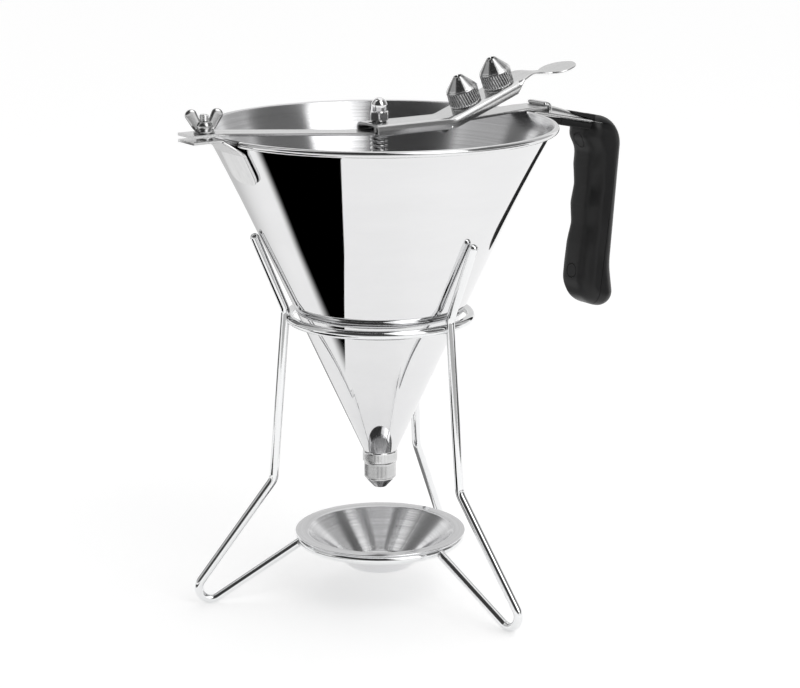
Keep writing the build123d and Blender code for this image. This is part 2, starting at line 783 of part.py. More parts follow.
# Screws from the inner face through the tang, and the plugs over their heads
screws = []
plugs = []
for run in (screw_high, grip_length - screw_low):
    place = Pos(*upright(grip_point(run, 0))) * Rot(0, 90 + grip_lean, 0)
    shank_length = screw_reach + screw_head_depth - screw_head_height
    head = Pos(0, 0, screw_head_height / 2 - screw_head_depth) * Cylinder(screw_head, screw_head_height)
    shank = Pos(0, 0, screw_reach - shank_length / 2) * Cylinder(screw_radius, shank_length)
    well = Pos(0, 0, -screw_head_depth - grip_thick / 2) * Cylinder(plug_radius, grip_thick)
    screw = place * (head + shank)
    plug = (place * well) & grip_inner
    screws.append(screw)
    plugs.append(plug)
for screw, plug in zip(screws, plugs):
    handle_bracket -= screw
    grip_inner -= screw
    grip_inner -= plug
    grip_outer -= screw
save(handle_bracket, "handle_bracket")
save(grip_inner, "grip_inner")
save(grip_outer, "grip_outer")
save(Compound(children=[s for body in screws for s in body.solids()]), "grip_screws")
save(Compound(children=[s for body in plugs for s in body.solids()]), "grip_plugs")

# Stand: each leg is one bent wire from its domed top to the base ring
foot_level = wire_radius - foot_flat
ring_radius = hopper_radius(ring_height) + ring_clear + wire_radius
ring_middle = (ring_radius + wire_dia - weld_sink, ring_height)
lean = math.tan(math.radians(leg_lean))
upper_knee = (ring_middle[0] - (knee_high - ring_height) * lean, knee_high)
lower_knee = (ring_middle[0] + (ring_height - knee_low) * lean, knee_low)
top_radius = hopper_radius(leg_top) + (wire_radius + leg_rest) / math.cos(slope)
foot_middle = (foot_reach - foot_radius, foot_level + foot_radius)
base_middle = (base_radius, base_height)


def touch(point, side):
    """Point where a line from here touches the foot's circle, on its upper or lower side."""
    away = math.dist(point, foot_middle)
    course = unit(foot_middle, point)
    spread = math.acos(foot_radius / away) * side
    turn = math.atan2(course[1], course[0]) + spread
    return moved(foot_middle, (math.cos(turn), math.sin(turn)), foot_radius)


foot_on = touch(lower_knee, -1)
foot_off = touch(base_middle, 1)
foot_inside = ((foot_on[0] + foot_off[0]) / 2, (foot_on[1] + foot_off[1]) / 2)
foot_out = moved(foot_middle, unit(foot_middle, foot_inside), foot_radius)
leg_stop = moved(base_middle, unit(base_middle, foot_off), wire_radius)
leg_edges = bent_edges([(top_radius, leg_top), upper_knee, lower_knee, foot_on], [knee_bend] * 2)
leg_edges.append(Edge.make_three_point_arc(upright(foot_on), upright(foot_out), upright(foot_off)))
leg_edges.append(Edge.make_line(upright(foot_off), upright(leg_stop)))
leg_path = Wire(leg_edges)
leg_course = unit((top_radius, leg_top), upper_knee)
leg_plane = Plane(origin=upright((top_radius, leg_top)), z_dir=upright(leg_course))
leg = sweep(leg_plane * Circle(wire_radius), path=leg_path)
leg += Pos(top_radius, 0, leg_top) * Sphere(wire_radius)
base_ring = Pos(0, 0, base_height) * Torus(base_radius, wire_radius)
support_ring = Pos(0, 0, ring_height) * Torus(ring_radius, wire_radius)
leg -= Pos(0, 0, -wire_radius) * Box(4 * foot_reach, 4 * foot_reach, wire_dia)
leg -= base_ring
leg -= support_ring
for name, angle in leg_angles.items():
    save(Rot(0, 0, angle) * leg, name)
save(support_ring, "support_ring")
save(base_ring, "base_ring")

# Drip bowl: a bent strip turned about the axis, its flange on the base ring
flange_height = base_height + wire_radius + bowl_rest + bowl_sheet / 2
bowl_line = [
    (0, flange_height - bowl_depth),
    (bowl_bottom, flange_height - bowl_depth),
    (base_radius - wire_radius - bowl_clear, flange_height),
    (base_radius + bowl_lap, flange_height),
]
drip_bowl = revolve(strip_face(bowl_line, [bowl_bend, bowl_lip_bend], bowl_sheet), Axis.Z)
save(drip_bowl, "drip_bowl")

# Heights and places that the record uses
print("pivot", [round(v, 3) for v in pivot], "nozzle open end", round(nozzle_height, 3))
print("spring top", round(bar_low, 3), "collar seat", round(collar_seat, 3), "lever top", round(lever_height, 3))
for name, run in zip("ab", peg_runs):
    print("peg", name, [round(v, 3) for v in moved(bend, arm_up, run)])
print("stud x", stud_x, "foot flat radius", round(foot_middle[0], 3))
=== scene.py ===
import bpy
import math
import numpy as np
from mathutils import Matrix, Vector


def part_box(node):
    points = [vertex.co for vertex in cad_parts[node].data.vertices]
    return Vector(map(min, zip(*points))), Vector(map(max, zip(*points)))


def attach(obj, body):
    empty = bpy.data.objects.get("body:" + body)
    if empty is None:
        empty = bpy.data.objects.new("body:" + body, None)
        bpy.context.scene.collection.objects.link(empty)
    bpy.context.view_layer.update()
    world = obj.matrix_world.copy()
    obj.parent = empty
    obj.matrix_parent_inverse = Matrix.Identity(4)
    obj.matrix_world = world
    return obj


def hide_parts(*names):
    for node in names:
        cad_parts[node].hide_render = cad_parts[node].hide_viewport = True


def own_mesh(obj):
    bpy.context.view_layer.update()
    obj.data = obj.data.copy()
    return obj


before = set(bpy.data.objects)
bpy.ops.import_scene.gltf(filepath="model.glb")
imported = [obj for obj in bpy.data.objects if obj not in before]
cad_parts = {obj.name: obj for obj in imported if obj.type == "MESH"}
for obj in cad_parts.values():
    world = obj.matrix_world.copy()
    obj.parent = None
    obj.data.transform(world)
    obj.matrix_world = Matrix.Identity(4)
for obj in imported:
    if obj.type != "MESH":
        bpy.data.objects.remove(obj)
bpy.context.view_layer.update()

# ---------------------------------------------------------------- WIRE STAND
# Three legs, each one length of 4.8 mm round steel wire bent at two knees and a foot, and two
# wire rings. Everything is welded, then bright plated. The hopper's cone leans on the leg tops.
mm = 0.001
wire_radius = 2.4
leg_line = [(66.69, 198.6), (50.78, 159.0), (58.35, 67.0), (119.49, -14.83), (44.4, 30.75)]
leg_bends = [9.0, 9.0, 6.8]
leg_turns = {"leg_left": 159.0, "leg_right": -79.0, "leg_rear": 35.0}
ring_places = {"support_ring": (48.21, 153.8), "base_ring": (43.3, 31.2)}
weld_places = [((49.6, 0, 155.6), (1.7, 2.0, 1.0)), ((49.8, 0, 152.0), (1.6, 1.9, 1.0)),
               ((45.7, 0, 30.4), (1.3, 2.7, 2.0))]


def bent(points, radii, step=3.0):
    """Points in a plane along a bent wire or strip. At a corner that turns by t the straight run
    stops radius * tan(t / 2) before it and an arc of that radius takes over, a point every few
    degrees, with one point just outside each end of the arc to keep the runs straight."""
    corners = np.array(points, float)
    line = [corners[:1]]
    for before, corner, after, radius in zip(corners, corners[1:], corners[2:], radii):
        u = (corner - before) / np.linalg.norm(corner - before)
        w = (after - corner) / np.linalg.norm(after - corner)
        turn = math.atan2(u[0] * w[1] - u[1] * w[0], u @ w)
        cut = radius * math.tan(abs(turn) / 2)
        inward = np.array([-u[1], u[0]]) * math.copysign(radius, turn)
        centre = corner - u * cut + inward
        a = np.linspace(0, turn, max(3, int(abs(math.degrees(turn)) / step) + 2))[:, None]
        arc = centre - inward * np.cos(a) - np.array([-inward[1], inward[0]]) * np.sin(a)
        lead = min(0.4, 0.1 * cut)
        line += [[corner - u * (cut + lead)], arc, [corner + w * (cut + lead)]]
    line.append(corners[-1:])
    return np.concatenate(line)


def courses(line):
    """Unit direction at each point of a line: the mean of the steps before and after it."""
    step = np.diff(line, axis=0)
    step /= np.linalg.norm(step, axis=1, keepdims=True)
    mean = np.concatenate([step[:1], step[:-1] + step[1:], step[-1:]])
    return mean / np.linalg.norm(mean, axis=1, keepdims=True)


def normals(line):
    """Unit normal to the left of each point of a line in a plane: its course turned by a quarter."""
    return courses(line)[:, ::-1] * [-1, 1]


def angles(count):
    """This many even steps round a circle, from nought."""
    return np.linspace(0, 2 * math.pi, count, endpoint=False)


def carried(line, y, n):
    """Sections carried along a line in the plane y = 0: at each of its points they lie y out of the
    plane and n along the line's normal."""
    side = normals(line)
    return np.stack([line[:, :1] + n * side[:, :1], y + 0 * n, line[:, 1:] + n * side[:, 1:]], -1)


def wire_grid(line, radius, sides=28):
    """Round wire in the plane y = 0: at each point of the line a circle, cos along the line's
    in-plane normal and sin along y. The radius may change along the line."""
    a, r = angles(sides), np.broadcast_to(radius, len(line))[:, None]
    return carried(line, r * np.sin(a), r * np.cos(a))


def turned_about(grid, degrees):
    """The grid turned about the upright axis."""
    c, s = math.cos(math.radians(degrees)), math.sin(math.radians(degrees))
    return grid @ np.array([[c, s, 0], [-s, c, 0], [0, 0, 1]])


def patches(rows, cols):
    """Row and column number of every face of a grid."""
    return (k.ravel() for k in np.meshgrid(np.arange(rows), np.arange(cols), indexing="ij"))


def placed(name, data):
    """New object in the scene for a mesh, a lamp or a camera."""
    piece = bpy.data.objects.new(name, data)
    bpy.context.scene.collection.objects.link(piece)
    return piece


def skin(name, *grids, loop=False, zones=(0,), crease=40):
    """One mesh over grids of points in mm. Rows run along a piece and columns round it, the last
    column meeting the first. loop joins the last row to the first; otherwise an end row is closed
    by one flat face, or by a fan where it shrinks to a point. The UV map holds the length along the
    rows and the share of the way round. zones are the rows where the next material starts."""
    points, faces, maps, finishes, first = [], [], [], [], 0
    for grid in grids:
        pole = [int(not loop and np.ptp(grid[end], axis=0).max() < 1e-6) for end in (0, -1)]
        body = grid[pole[0]:len(grid) - pole[1]]
        rows, cols = body.shape[:2]
        here = np.concatenate([body.reshape(-1, 3), grid[0, :pole[0]], grid[-1, :pole[1]]])
        steps = np.linalg.norm(np.diff(np.concatenate([body, body[:1]]), axis=0), axis=2).mean(1)
        along = np.concatenate([[0], np.cumsum(steps)]) * mm
        i, j = patches(rows if loop else rows - 1, cols)
        below, above, beside = i * cols, (i + 1) % rows * cols, (j + 1) % cols
        blocks = [np.stack([below + j, below + beside, above + beside, above + j], 1)]
        spots = [np.stack([np.stack([along[i], along[i], along[i + 1], along[i + 1]], 1),
                           np.stack([j, j + 1, j + 1, j], 1) / cols], -1)]
        marks = [np.searchsorted(zones, i + pole[0], "right") - 1]
        for end in () if loop else (0, 1):
            edge = np.arange(cols) + end * (rows - 1) * cols
            point = np.full(cols, rows * cols + end * pole[0])
            fan = np.stack([edge, point, np.roll(edge, -1)], 1)[:, ::1 - 2 * end]
            block = fan if pole[end] else edge[None, ::2 * end - 1]
            blocks.append(block)
            spots.append(np.broadcast_to([along[end * (rows - 1)], 0.5], block.shape + (2,)))
            marks.append(np.full(len(block), marks[0][-end]))
        volume = sum((np.cross(here[b][:, 1:-1], here[b][:, 2:]) * here[b][:, :1]).sum() for b in blocks)
        turn = -1 if volume < 0 else 1
        points.append(here)
        maps += [m[:, ::turn].reshape(-1, 2) for m in spots]
        finishes += marks
        faces += sum([(b[:, ::turn] + first).tolist() for b in blocks], [])
        first += len(here)
    mesh = bpy.data.meshes.new(name)
    mesh.from_pydata(np.concatenate(points) * mm, [], faces)
    mesh.uv_layers.new(name="along").data.foreach_set("uv", np.concatenate(maps).astype(np.float32).ravel())
    mesh.polygons.foreach_set("material_index", np.concatenate(finishes).astype(np.int32))
    mesh.shade_smooth()
    mesh.set_sharp_from_angle(angle=math.radians(crease))
    return placed(name, mesh)


def lathe(outline, around=128):
    """Surface turned about the upright axis: rows are the outline's (radius, height) points, columns
    the angles round the axis."""
    line, a = np.array(outline, float), angles(around)
    return np.stack([line[:, :1] * np.cos(a), line[:, :1] * np.sin(a), line[:, 1:] + 0 * a], -1)


def feed(tree, node, values):
    """Sets a node's inputs, by name or number. The output of another node is linked to the input,
    anything else is the input's own value."""
    for key, value in values.items():
        if isinstance(value, bpy.types.NodeSocket):
            tree.links.new(value, node.inputs[key])
        else:
            node.inputs[key].default_value = value


def new_node(tree, kind, values, out=0, **settings):
    """New node with its settings and inputs. Gives the output that is wanted, by name or number."""
    node = tree.nodes.new("ShaderNode" + kind)
    for key, value in settings.items():
        setattr(node, key, value)
    feed(tree, node, values)
    return node.outputs[out]


def mixed(tree, share, tone, other):
    """One tone passing into the other by a share."""
    return new_node(tree, "Mix", {"Factor": share, "A": tone, "B": other}, "Result", data_type="RGBA")


def new_material(name):
    """New material, its node tree and its shader."""
    material = bpy.data.materials.new(name)
    material.use_nodes = True
    return material, material.node_tree, material.node_tree.nodes["Principled BSDF"]


# Near-black tone: the metals' grain and smudges fade towards it, and the turned steel is painted towards it
# as painted shade.
soil_and_shade = (0.02, 0.02, 0.022, 1)


def metal_grain():
    """Group for every metal: fine grain and soft smudges that change the tone, the roughness and the
    surface height. Place is stretched by each material so that the grain follows its own making."""
    group = bpy.data.node_groups.new("metal_grain", "ShaderNodeTree")
    for way, label, kind in (("INPUT", "Place", "Vector"), ("INPUT", "Metal", "Color"),
                             ("INPUT", "Shade", "Float"), ("INPUT", "Polish", "Float"),
                             ("INPUT", "Dull", "Float"), ("OUTPUT", "Tone", "Color"),
                             ("OUTPUT", "Rough", "Float"), ("OUTPUT", "Height", "Float")):
        group.interface.new_socket(label, in_out=way, socket_type="NodeSocket" + kind)
    take = group.nodes.new("NodeGroupInput").outputs
    fine = new_node(group, "TexNoise", {"Vector": take["Place"], "Scale": 1.0, "Detail": 5.0,
                                        "Roughness": 0.65})
    soft = new_node(group, "TexNoise", {"Vector": take["Place"], "Scale": 0.06, "Detail": 2.0})
    share = new_node(group, "Math", {0: soft, 1: 0.4}, operation="MULTIPLY")
    both = new_node(group, "Math", {0: fine, 1: 0.6, 2: share}, operation="MULTIPLY_ADD")
    level = new_node(group, "MapRange", {"Value": both, "From Min": 0.3, "From Max": 0.7})
    rough = new_node(group, "MapRange", {"Value": level, "To Min": take["Polish"], "To Max": take["Dull"]})
    dark = new_node(group, "Math", {0: level, 1: take["Shade"]}, operation="MULTIPLY")
    tone = mixed(group, dark, take["Metal"], soil_and_shade)
    feed(group, group.nodes.new("NodeGroupOutput"), {"Tone": tone, "Rough": rough, "Height": fine})
    return group


grain = metal_grain()


def metal(name, colour, stretch, shade, polish, dull, relief, spread=0.0, place="UV"):
    """Metal with the grain group: stretch scales the place it reads, relief is the bump's depth in
    metres, spread the anisotropy along the UV map's first direction."""
    material, tree, shader = new_material(name)
    at = new_node(tree, "Mapping", {"Vector": new_node(tree, "TexCoord", {}, place), "Scale": stretch})
    marks = tree.nodes.new("ShaderNodeGroup")
    marks.node_tree = grain
    feed(tree, marks, {"Place": at, "Metal": (*colour, 1), "Shade": shade, "Polish": polish, "Dull": dull})
    bump = new_node(tree, "Bump", {"Height": marks.outputs["Height"], "Distance": relief})
    feed(tree, shader, {"Base Color": marks.outputs["Tone"], "Metallic": 1.0,
                        "Roughness": marks.outputs["Rough"], "Normal": bump})
    if spread:
        course = new_node(tree, "Tangent", {}, direction_type="UV_MAP", uv_map="along")
        feed(tree, shader, {"Anisotropic": spread, "Tangent": course})
    return material


def coat(piece, *finishes):
    """Gives a piece its finishes, one for each of its zones."""
    for finish in finishes:
        piece.data.materials.append(finish)


plated_wire = metal("plated_wire", (0.88, 0.885, 0.89), (90, 30, 1),
                    shade=0.10, polish=0.04, dull=0.10, relief=2e-6)
dome = np.linspace(-math.pi / 2, 0, 9)[:-1]
leg_path = bent(leg_line, leg_bends)
leg_top = leg_path[0] + wire_radius * np.sin(dome)[:, None] * courses(leg_path)[0]
leg_path = np.concatenate([leg_top, leg_path])
leg_radius = np.full(len(leg_path), wire_radius)
leg_radius[:len(dome)] = wire_radius * np.cos(dome)
leg_radius[0] = 0
leg_grid = wire_grid(leg_path, leg_radius)
leg_grid[..., 2] = np.maximum(leg_grid[..., 2], 0)
for name, turn in leg_turns.items():
    leg = skin("wire_" + name, turned_about(leg_grid, turn))
    coat(leg, plated_wire)
    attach(leg, "stand")
    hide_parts(name)
for name, (radius, height) in ring_places.items():
    a = angles(32)
    ring_section = np.stack([radius + wire_radius * np.cos(a), height + wire_radius * np.sin(a)], 1)
    ring = skin("wire_" + name, lathe(ring_section, 160), loop=True)
    coat(ring, plated_wire)
    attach(ring, "stand")
    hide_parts(name)


def bead(middle, sizes, turn, rows=12, cols=16):
    """Weld bead: an ellipsoid with a slightly lumpy surface, its half sizes along the ring's radius,
    round the ring and up, turned to a leg's angle."""
    t, a = np.meshgrid(np.linspace(0, math.pi, rows), angles(cols), indexing="ij")
    lump = 1 + 0.07 * np.sin(3 * a + turn) * np.sin(2 * t) ** 2
    ball = np.stack([np.sin(t) * np.cos(a), np.sin(t) * np.sin(a), np.cos(t)], -1) * lump[..., None]
    return turned_about(ball * sizes + middle, turn)


welds = skin("stand_welds", *[bead(p, s, turn) for turn in leg_turns.values() for p, s in weld_places])
coat(welds, metal("weld_metal", (0.6, 0.6, 0.6), (700, 700, 700),
                  shade=0.3, polish=0.2, dull=0.4, relief=2e-5, place="Object"))
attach(welds, "stand")

# ----------------------------------------------------------------- DRIP BOWL
# A bowl spun from 0.8 mm stainless sheet, with a flat flange that lies loose on the base ring.
# Spinning leaves fine rings on its upper face; the underside is left smoother.
bowl_sheet = 0.8
bowl_line = bent([(0, 14.4), (16.3, 14.4), (39.8, 34.2), (45.6, 34.2)], [7.0, 2.0])


def sheet_outline(line, thick):
    """Closed section of a sheet whose middle follows the line: one face is the line moved half the
    thickness to its left, the other half to its right, and the free end is a half circle."""
    side = normals(line) * thick / 2
    a = np.linspace(math.pi / 2, -math.pi / 2, 7)[1:-1, None]
    end = line[-1] + side[-1] * np.sin(a) + courses(line)[-1] * thick / 2 * np.cos(a)
    return np.concatenate([line + side, end, (line - side)[::-1]])


bowl_section = sheet_outline(bowl_line, bowl_sheet)
bowl_section[[0, -1], 0] = 0
bowl = skin("spun_bowl", lathe(bowl_section, 192), zones=(0, len(bowl_line) - 1))
coat(bowl, metal("spun_inside", (0.84, 0.84, 0.85), (900, 2.5, 1),
                 shade=0.36, polish=0.11, dull=0.20, relief=7e-6, spread=0.9),
     metal("spun_outside", (0.84, 0.84, 0.85), (500, 4.0, 1),
           shade=0.10, polish=0.10, dull=0.20, relief=2e-6, spread=0.4))
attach(bowl, "drip_bowl")
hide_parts("drip_bowl")

# -------------------------------------------------------------------- HOPPER
# A cone of 0.8 mm stainless sheet. Outside it is mirror polished; inside it keeps the fine rings of
# the brush. Towards the top it opens a little wider, and the edge is rolled into a hollow bead.
slope = math.radians(24.7)
hopper_sheet = 0.8
hopper_low, flare_low, rim_height = 76.99, 200.0, 254.0
rim_radius, flare, rolled_radius = 89.2, 1.6, 1.7
wall_high, inside_high = 253.1, 254.9


def wall_radius(height):
    """Outside radius of the hopper's wall at a height: a straight cone that opens along a parabola by
    the flare more towards the rim."""
    opened = np.clip(height - flare_low, 0, None) / (rim_height - flare_low)
    return rim_radius + (height - rim_height) * math.tan(slope) + flare * opened ** 2


a = np.radians(np.linspace(-150, 141, 40))
rolled_middle = [wall_radius(253.15) + 1.47, rim_height]
rolled = rolled_middle + rolled_radius * np.stack([np.cos(a), np.sin(a)], 1)
wall_z = np.concatenate([np.linspace(hopper_low, flare_low, 24), np.linspace(flare_low, wall_high, 24)[1:]])
inside_z = np.append(wall_z[:-1], inside_high)
outer_wall = np.stack([wall_radius(wall_z), wall_z], 1)
inner_wall = np.stack([wall_radius(inside_z) - hopper_sheet / math.cos(slope), inside_z], 1)
hopper_outline = np.concatenate([outer_wall, rolled, inner_wall[::-1]])
hopper = skin("sheet_hopper", lathe(hopper_outline, 288), loop=True,
              zones=(0, len(wall_z) + len(rolled) - 4))
coat(hopper, metal("polished_outside", (0.785, 0.785, 0.79), (60, 6, 1),
                   shade=0.05, polish=0.015, dull=0.05, relief=1e-6),
     metal("brushed_inside", (0.80, 0.80, 0.81), (800, 2.0, 1),
           shade=0.34, polish=0.17, dull=0.27, relief=6e-6, spread=0.9))
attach(hopper, "funnel")
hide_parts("hopper")

# ----------------------------------------------------------- SPOUT AND NOZZLES
# Turned from stainless bar. The spout's collar is soldered on the end of the cone and the nozzle
# screws on its neck. Collar and skirt have a fine straight or diamond knurl, the cones are smooth.
# The knurl's grooves are painted darker as painted shade, and the nozzle cones are painted darker.


def knurled(outline, band, teeth, depth, cross, around, run_out=0.25):
    """Turned surface with a knurl, and how deep it is cut at each point as a share. Inside the band of
    heights each radius is cut back by depth times the ridge |sin| pattern of the angle, straight or
    leaning by cross with a fainter set across it. It runs out at the band's edges."""
    grid, a = lathe(outline, around), angles(around)
    z = grid[..., 2]
    inside = np.clip(np.minimum(z - band[0], band[1] - z) / run_out, 0, 1)
    lean = cross * (z - band[0])
    ridge = np.abs(np.sin(teeth / 2 * a + lean))
    if cross:
        ridge *= 0.7 + 0.3 * np.abs(np.sin(teeth / 2 * a - lean))
    cut = inside * (1 - ridge)
    grid[..., :2] *= (1 - depth * cut / np.hypot(grid[..., 0], grid[..., 1]).clip(0.1))[..., None]
    return grid, cut


def mark_painted_shade(piece, cut):
    """Keeps a share at each point as the attribute by which the turned steel is painted darker:
    painted shade in the knurl's grooves, and a darker painted tone on the nozzle cones.
    """
    shares = piece.data.attributes.new("painted_shade", "FLOAT", "POINT").data
    shares.foreach_set("value", cut.astype(np.float32).ravel())


def runs(points, step):
    """The outline with each straight run divided into steps no longer than this."""
    p = np.array(points, float)
    counts = [max(2, int(np.linalg.norm(b - a) / step) + 1) for a, b in zip(p, p[1:])]
    parts = [a + (b - a) * np.linspace(0, 1, n)[:-1, None] for a, b, n in zip(p, p[1:], counts)]
    return np.concatenate(parts + [p[-1:]])


spout_outline = runs([(4.6, 79.1), (8.0, 79.1), (8.9, 79.1), (9.3, 78.7), (9.3, 73.7), (8.9, 73.29),
                      (6.7, 73.29), (6.7, 67.6), (6.3, 67.19), (4.6, 67.19)], 0.6)
spout_grid, spout_cut = knurled(spout_outline, band=(73.9, 78.6), teeth=72, depth=0.10, cross=0, around=432)
spout = skin("turned_spout", spout_grid, loop=True, crease=30)
# Painted shade in the grooves of the collar's knurl.
mark_painted_shade(spout, spout_cut * 0.4)
turned_steel = metal("turned_steel", (0.80, 0.80, 0.80), (900, 3, 1),
                     shade=0.14, polish=0.12, dull=0.24, relief=3e-6, spread=0.5)
# The turned steel's colour is darkened by the attribute each piece keeps: painted shade in the knurl's
# grooves, a darker painted tone on the nozzle cones.
tree = turned_steel.node_tree
base = tree.nodes["Principled BSDF"].inputs["Base Color"]
painted_shade = new_node(tree, "Attribute", {}, "Fac", attribute_name="painted_shade")
tree.links.new(mixed(tree, painted_shade, base.links[0].from_socket, soil_and_shade), base)
coat(spout, turned_steel)
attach(spout, "funnel")
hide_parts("spout")


def nozzle_grid(tip, teeth, depth, cross, notches):
    """Nozzle with its open end at nought, the share of the knurl's cut, and a mask that is one on the cone,
    which is painted darker, and nought elsewhere: a knurled skirt, a bare shoulder, a cone to a flat tip
    with the bore through it. The tip's face drops in a ring of notches, a steep cosine of the angle."""
    around, bore, notch = teeth * 8, tip - 0.9, 0.9
    outside = runs([(7.0, 0.0), (8.1, 0.0), (8.55, 0.45), (8.55, 8.3), (8.15, 8.75), (8.15, 9.1),
                    (tip + 0.1, 15.2), (tip - 0.1, 15.5), (bore, 15.5)], 0.4)
    inside = runs([(bore, 13.6), (4.6, 6.8), (7.0, 6.8)], 1.2)
    skirt, cut = knurled(outside, (0.7, 8.1), teeth, depth, cross, around)
    grid = np.concatenate([skirt, lathe(inside, around)])
    drop = np.clip(4 * np.cos(notches * angles(around)) - 2.4, 0, 1) * notch
    grid[..., 2] -= np.clip(grid[..., 2] - 14.3, 0, 1) * drop
    cone = np.clip((grid[..., 2] - 9.6) / 0.4, 0, 1)
    return grid, np.concatenate([cut, np.zeros((len(inside), around))]), cone


nozzle_shape, nozzle_cut, cone = nozzle_grid(tip=2.4, teeth=72, depth=0.22, cross=0, notches=0)
nozzle = skin("turned_nozzle", nozzle_shape * [1, -1, -1] + [0, 0, 73.14], loop=True, crease=30)
# Painted shade in the skirt's knurl grooves, and the cone painted darker.
mark_painted_shade(nozzle, nozzle_cut * 0.5 + 0.55 * cone)
coat(nozzle, turned_steel)
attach(nozzle, "nozzle")
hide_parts("nozzle")

# ------------------------------------------------------ FRONT BRACKET AND STUD
# A strip of 1.5 mm steel, spot welded to the cone by a wide round-ended tongue, bent out past the
# rolled rim and flat under the bar. A threaded stud with a shoulder is pressed into its flange.
strip_sheet = 1.5
stud_x = -105.0


def strip_grid(line, half_width, thick, edge=0.45, fine=9, face=14):
    """Strip of sheet along a line in the plane y = 0: at each point a rounded rectangle, its width
    along y and its thickness along the line's normal, the line on the middle of the sheet."""
    w = np.broadcast_to(half_width, len(line))[:, None]
    thick = np.broadcast_to(thick, len(line))[:, None]
    e = np.minimum(edge, np.maximum(w, 1e-4))
    a = np.linspace(0, math.pi / 2, fine)
    turns = [a, a + math.pi / 2, a + math.pi, a + 3 * math.pi / 2]
    y = [s * (w - e) + e * np.cos(t) for s, t in zip((1, -1, -1, 1), turns)]
    n = [s * (thick / 2 - e) + e * np.sin(t) for s, t in zip((1, 1, -1, -1), turns)]
    flat = np.linspace(0, 1, face)[1:-1]
    y = np.concatenate([y[0], y[0][:, -1:] + flat * (y[1][:, :1] - y[0][:, -1:]), y[1], y[2],
                        y[2][:, -1:] + flat * (y[3][:, :1] - y[2][:, -1:]), y[3]], 1)
    n = np.concatenate([n[0], n[0][:, -1:] + 0 * flat, n[1], n[2], n[2][:, -1:] + 0 * flat, n[3]], 1)
    return carried(line, y, n)


def run_along(line):
    """Length along a line up to each of its points."""
    return np.concatenate([[0], np.cumsum(np.linalg.norm(np.diff(line, axis=0), axis=1))])


def points_at(line, at):
    """Points at these lengths along a line in a plane."""
    return np.stack([np.interp(at, run_along(line), line[:, k]) for k in (0, 1)], 1)


def stations(line, step):
    """The line with points added so that no step is longer than this, and the length up to each."""
    run = run_along(line)
    at = np.unique(np.concatenate([run, np.arange(0, run[-1], step)]).round(4))
    return points_at(line, at), at


def smoothed(values, reach):
    """Mean of each value and its neighbours, this many on either side."""
    count = 2 * reach + 1
    return np.convolve(np.pad(values, reach, "edge"), np.ones(count) / count, "valid")


front_corners = [(80.45, 232.0), (88.65, 248.3), (99.95, 256.25), (115.5, 256.25)]
front_line, front_run = stations(bent(front_corners, [3.0, 3.0]), 0.5)
tongue_end = 10.0 * (1 - (1 - np.clip(1 - front_run / 8.0, 0, 1) ** 3) ** (1 / 3))
front_half = smoothed(np.interp(front_line[:, 0], [91.9, 99.9], [11.5, 8.0]), 6) - tongue_end
front_half[-1] -= 0.3
front_grid = strip_grid(front_line, np.maximum(front_half, 0.3), strip_sheet)
run_at, y_at = np.broadcast_to(front_run[:, None], front_grid.shape[:2]), front_grid[..., 1]
dimple = 0.18 * sum(np.exp(-((run_at - 6.5) ** 2 + (y_at - y0) ** 2) / 2.2) for y0 in (-4.5, 4.5))
front_grid[..., 0] -= dimple * math.cos(slope)
front_grid[..., 2] += dimple * math.sin(slope)
front_bracket = skin("strip_front_bracket", front_grid * [-1, -1, 1])
satin_strip = metal("satin_strip", (0.80, 0.80, 0.80), (25, 60, 1),
                    shade=0.16, polish=0.14, dull=0.26, relief=3e-6)
coat(front_bracket, satin_strip)
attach(front_bracket, "funnel")
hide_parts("front_bracket")


def threaded(low, high, radius, pitch, x):
    """Threaded end of a stud: the radius falls by a third of the pitch along a rounded ridge that
    climbs one pitch each turn, and the last half millimetre is bevelled."""
    z = np.linspace(low, high, int((high - low) / pitch * 10))[:, None]
    a = angles(40)
    ridge = 0.5 + 0.5 * np.cos(2 * math.pi * z / pitch - a)
    r = radius - 0.35 * pitch * (1 - ridge) ** 0.7 - np.clip(z - high + 0.5, 0, None)
    return np.stack([x + r * np.cos(a), r * np.sin(a), z + 0 * a], -1)


shoulder = lathe([(0, 255.5), (2.5, 255.5), (2.5, 257.0), (4.0, 257.0), (4.3, 257.3), (4.3, 258.3),
                  (4.0, 258.6), (0, 258.6)], 48) + [stud_x, 0, 0]
thread = threaded(low=258.0, high=269.2, radius=2.5, pitch=0.8, x=stud_x)
stud = skin("stud", thread, shoulder, crease=30)
bright_fitting = metal("bright_fitting", (0.84, 0.84, 0.84), (300, 300, 300),
                       shade=0.12, polish=0.07, dull=0.16, relief=2e-6, place="Object")
coat(stud, bright_fitting)
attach(stud, "funnel")
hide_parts("bracket_stud")

# ----------------------------------------------------------------- CROSS BAR
# A flat steel strip across the hopper. The stud and the wing nut hold one end, the other slides
# under the hood of the handle. In the middle it dips to guide the valve rod through a hole.
bar_corners = [(-115.5, 259.35), (-99, 259.35), (-6.5, 251.65), (6.5, 251.65), (93.3, 256.65),
               (105, 256.65)]


def pierce(piece, cutter, how="DIFFERENCE"):
    """Takes the cutter's shape out of the piece, or keeps what both share, and puts the result in the
    piece's mesh."""
    tool = piece.modifiers.new("hole", "BOOLEAN")
    tool.operation, tool.solver, tool.object = how, "EXACT", cutter
    bpy.context.view_layer.update()
    made = bpy.data.meshes.new_from_object(piece.evaluated_get(bpy.context.evaluated_depsgraph_get()))
    piece.modifiers.clear()
    old, piece.data = piece.data, made
    bpy.data.meshes.remove(old)
    bpy.data.objects.remove(cutter)
    made.set_sharp_from_angle(angle=math.radians(40))


def drill(x, radius, low, high):
    """Upright cutter for a round hole."""
    return skin("drill", lathe([(0, low), (radius, low), (radius, high), (0, high)], 48) + [x, 0, 0])


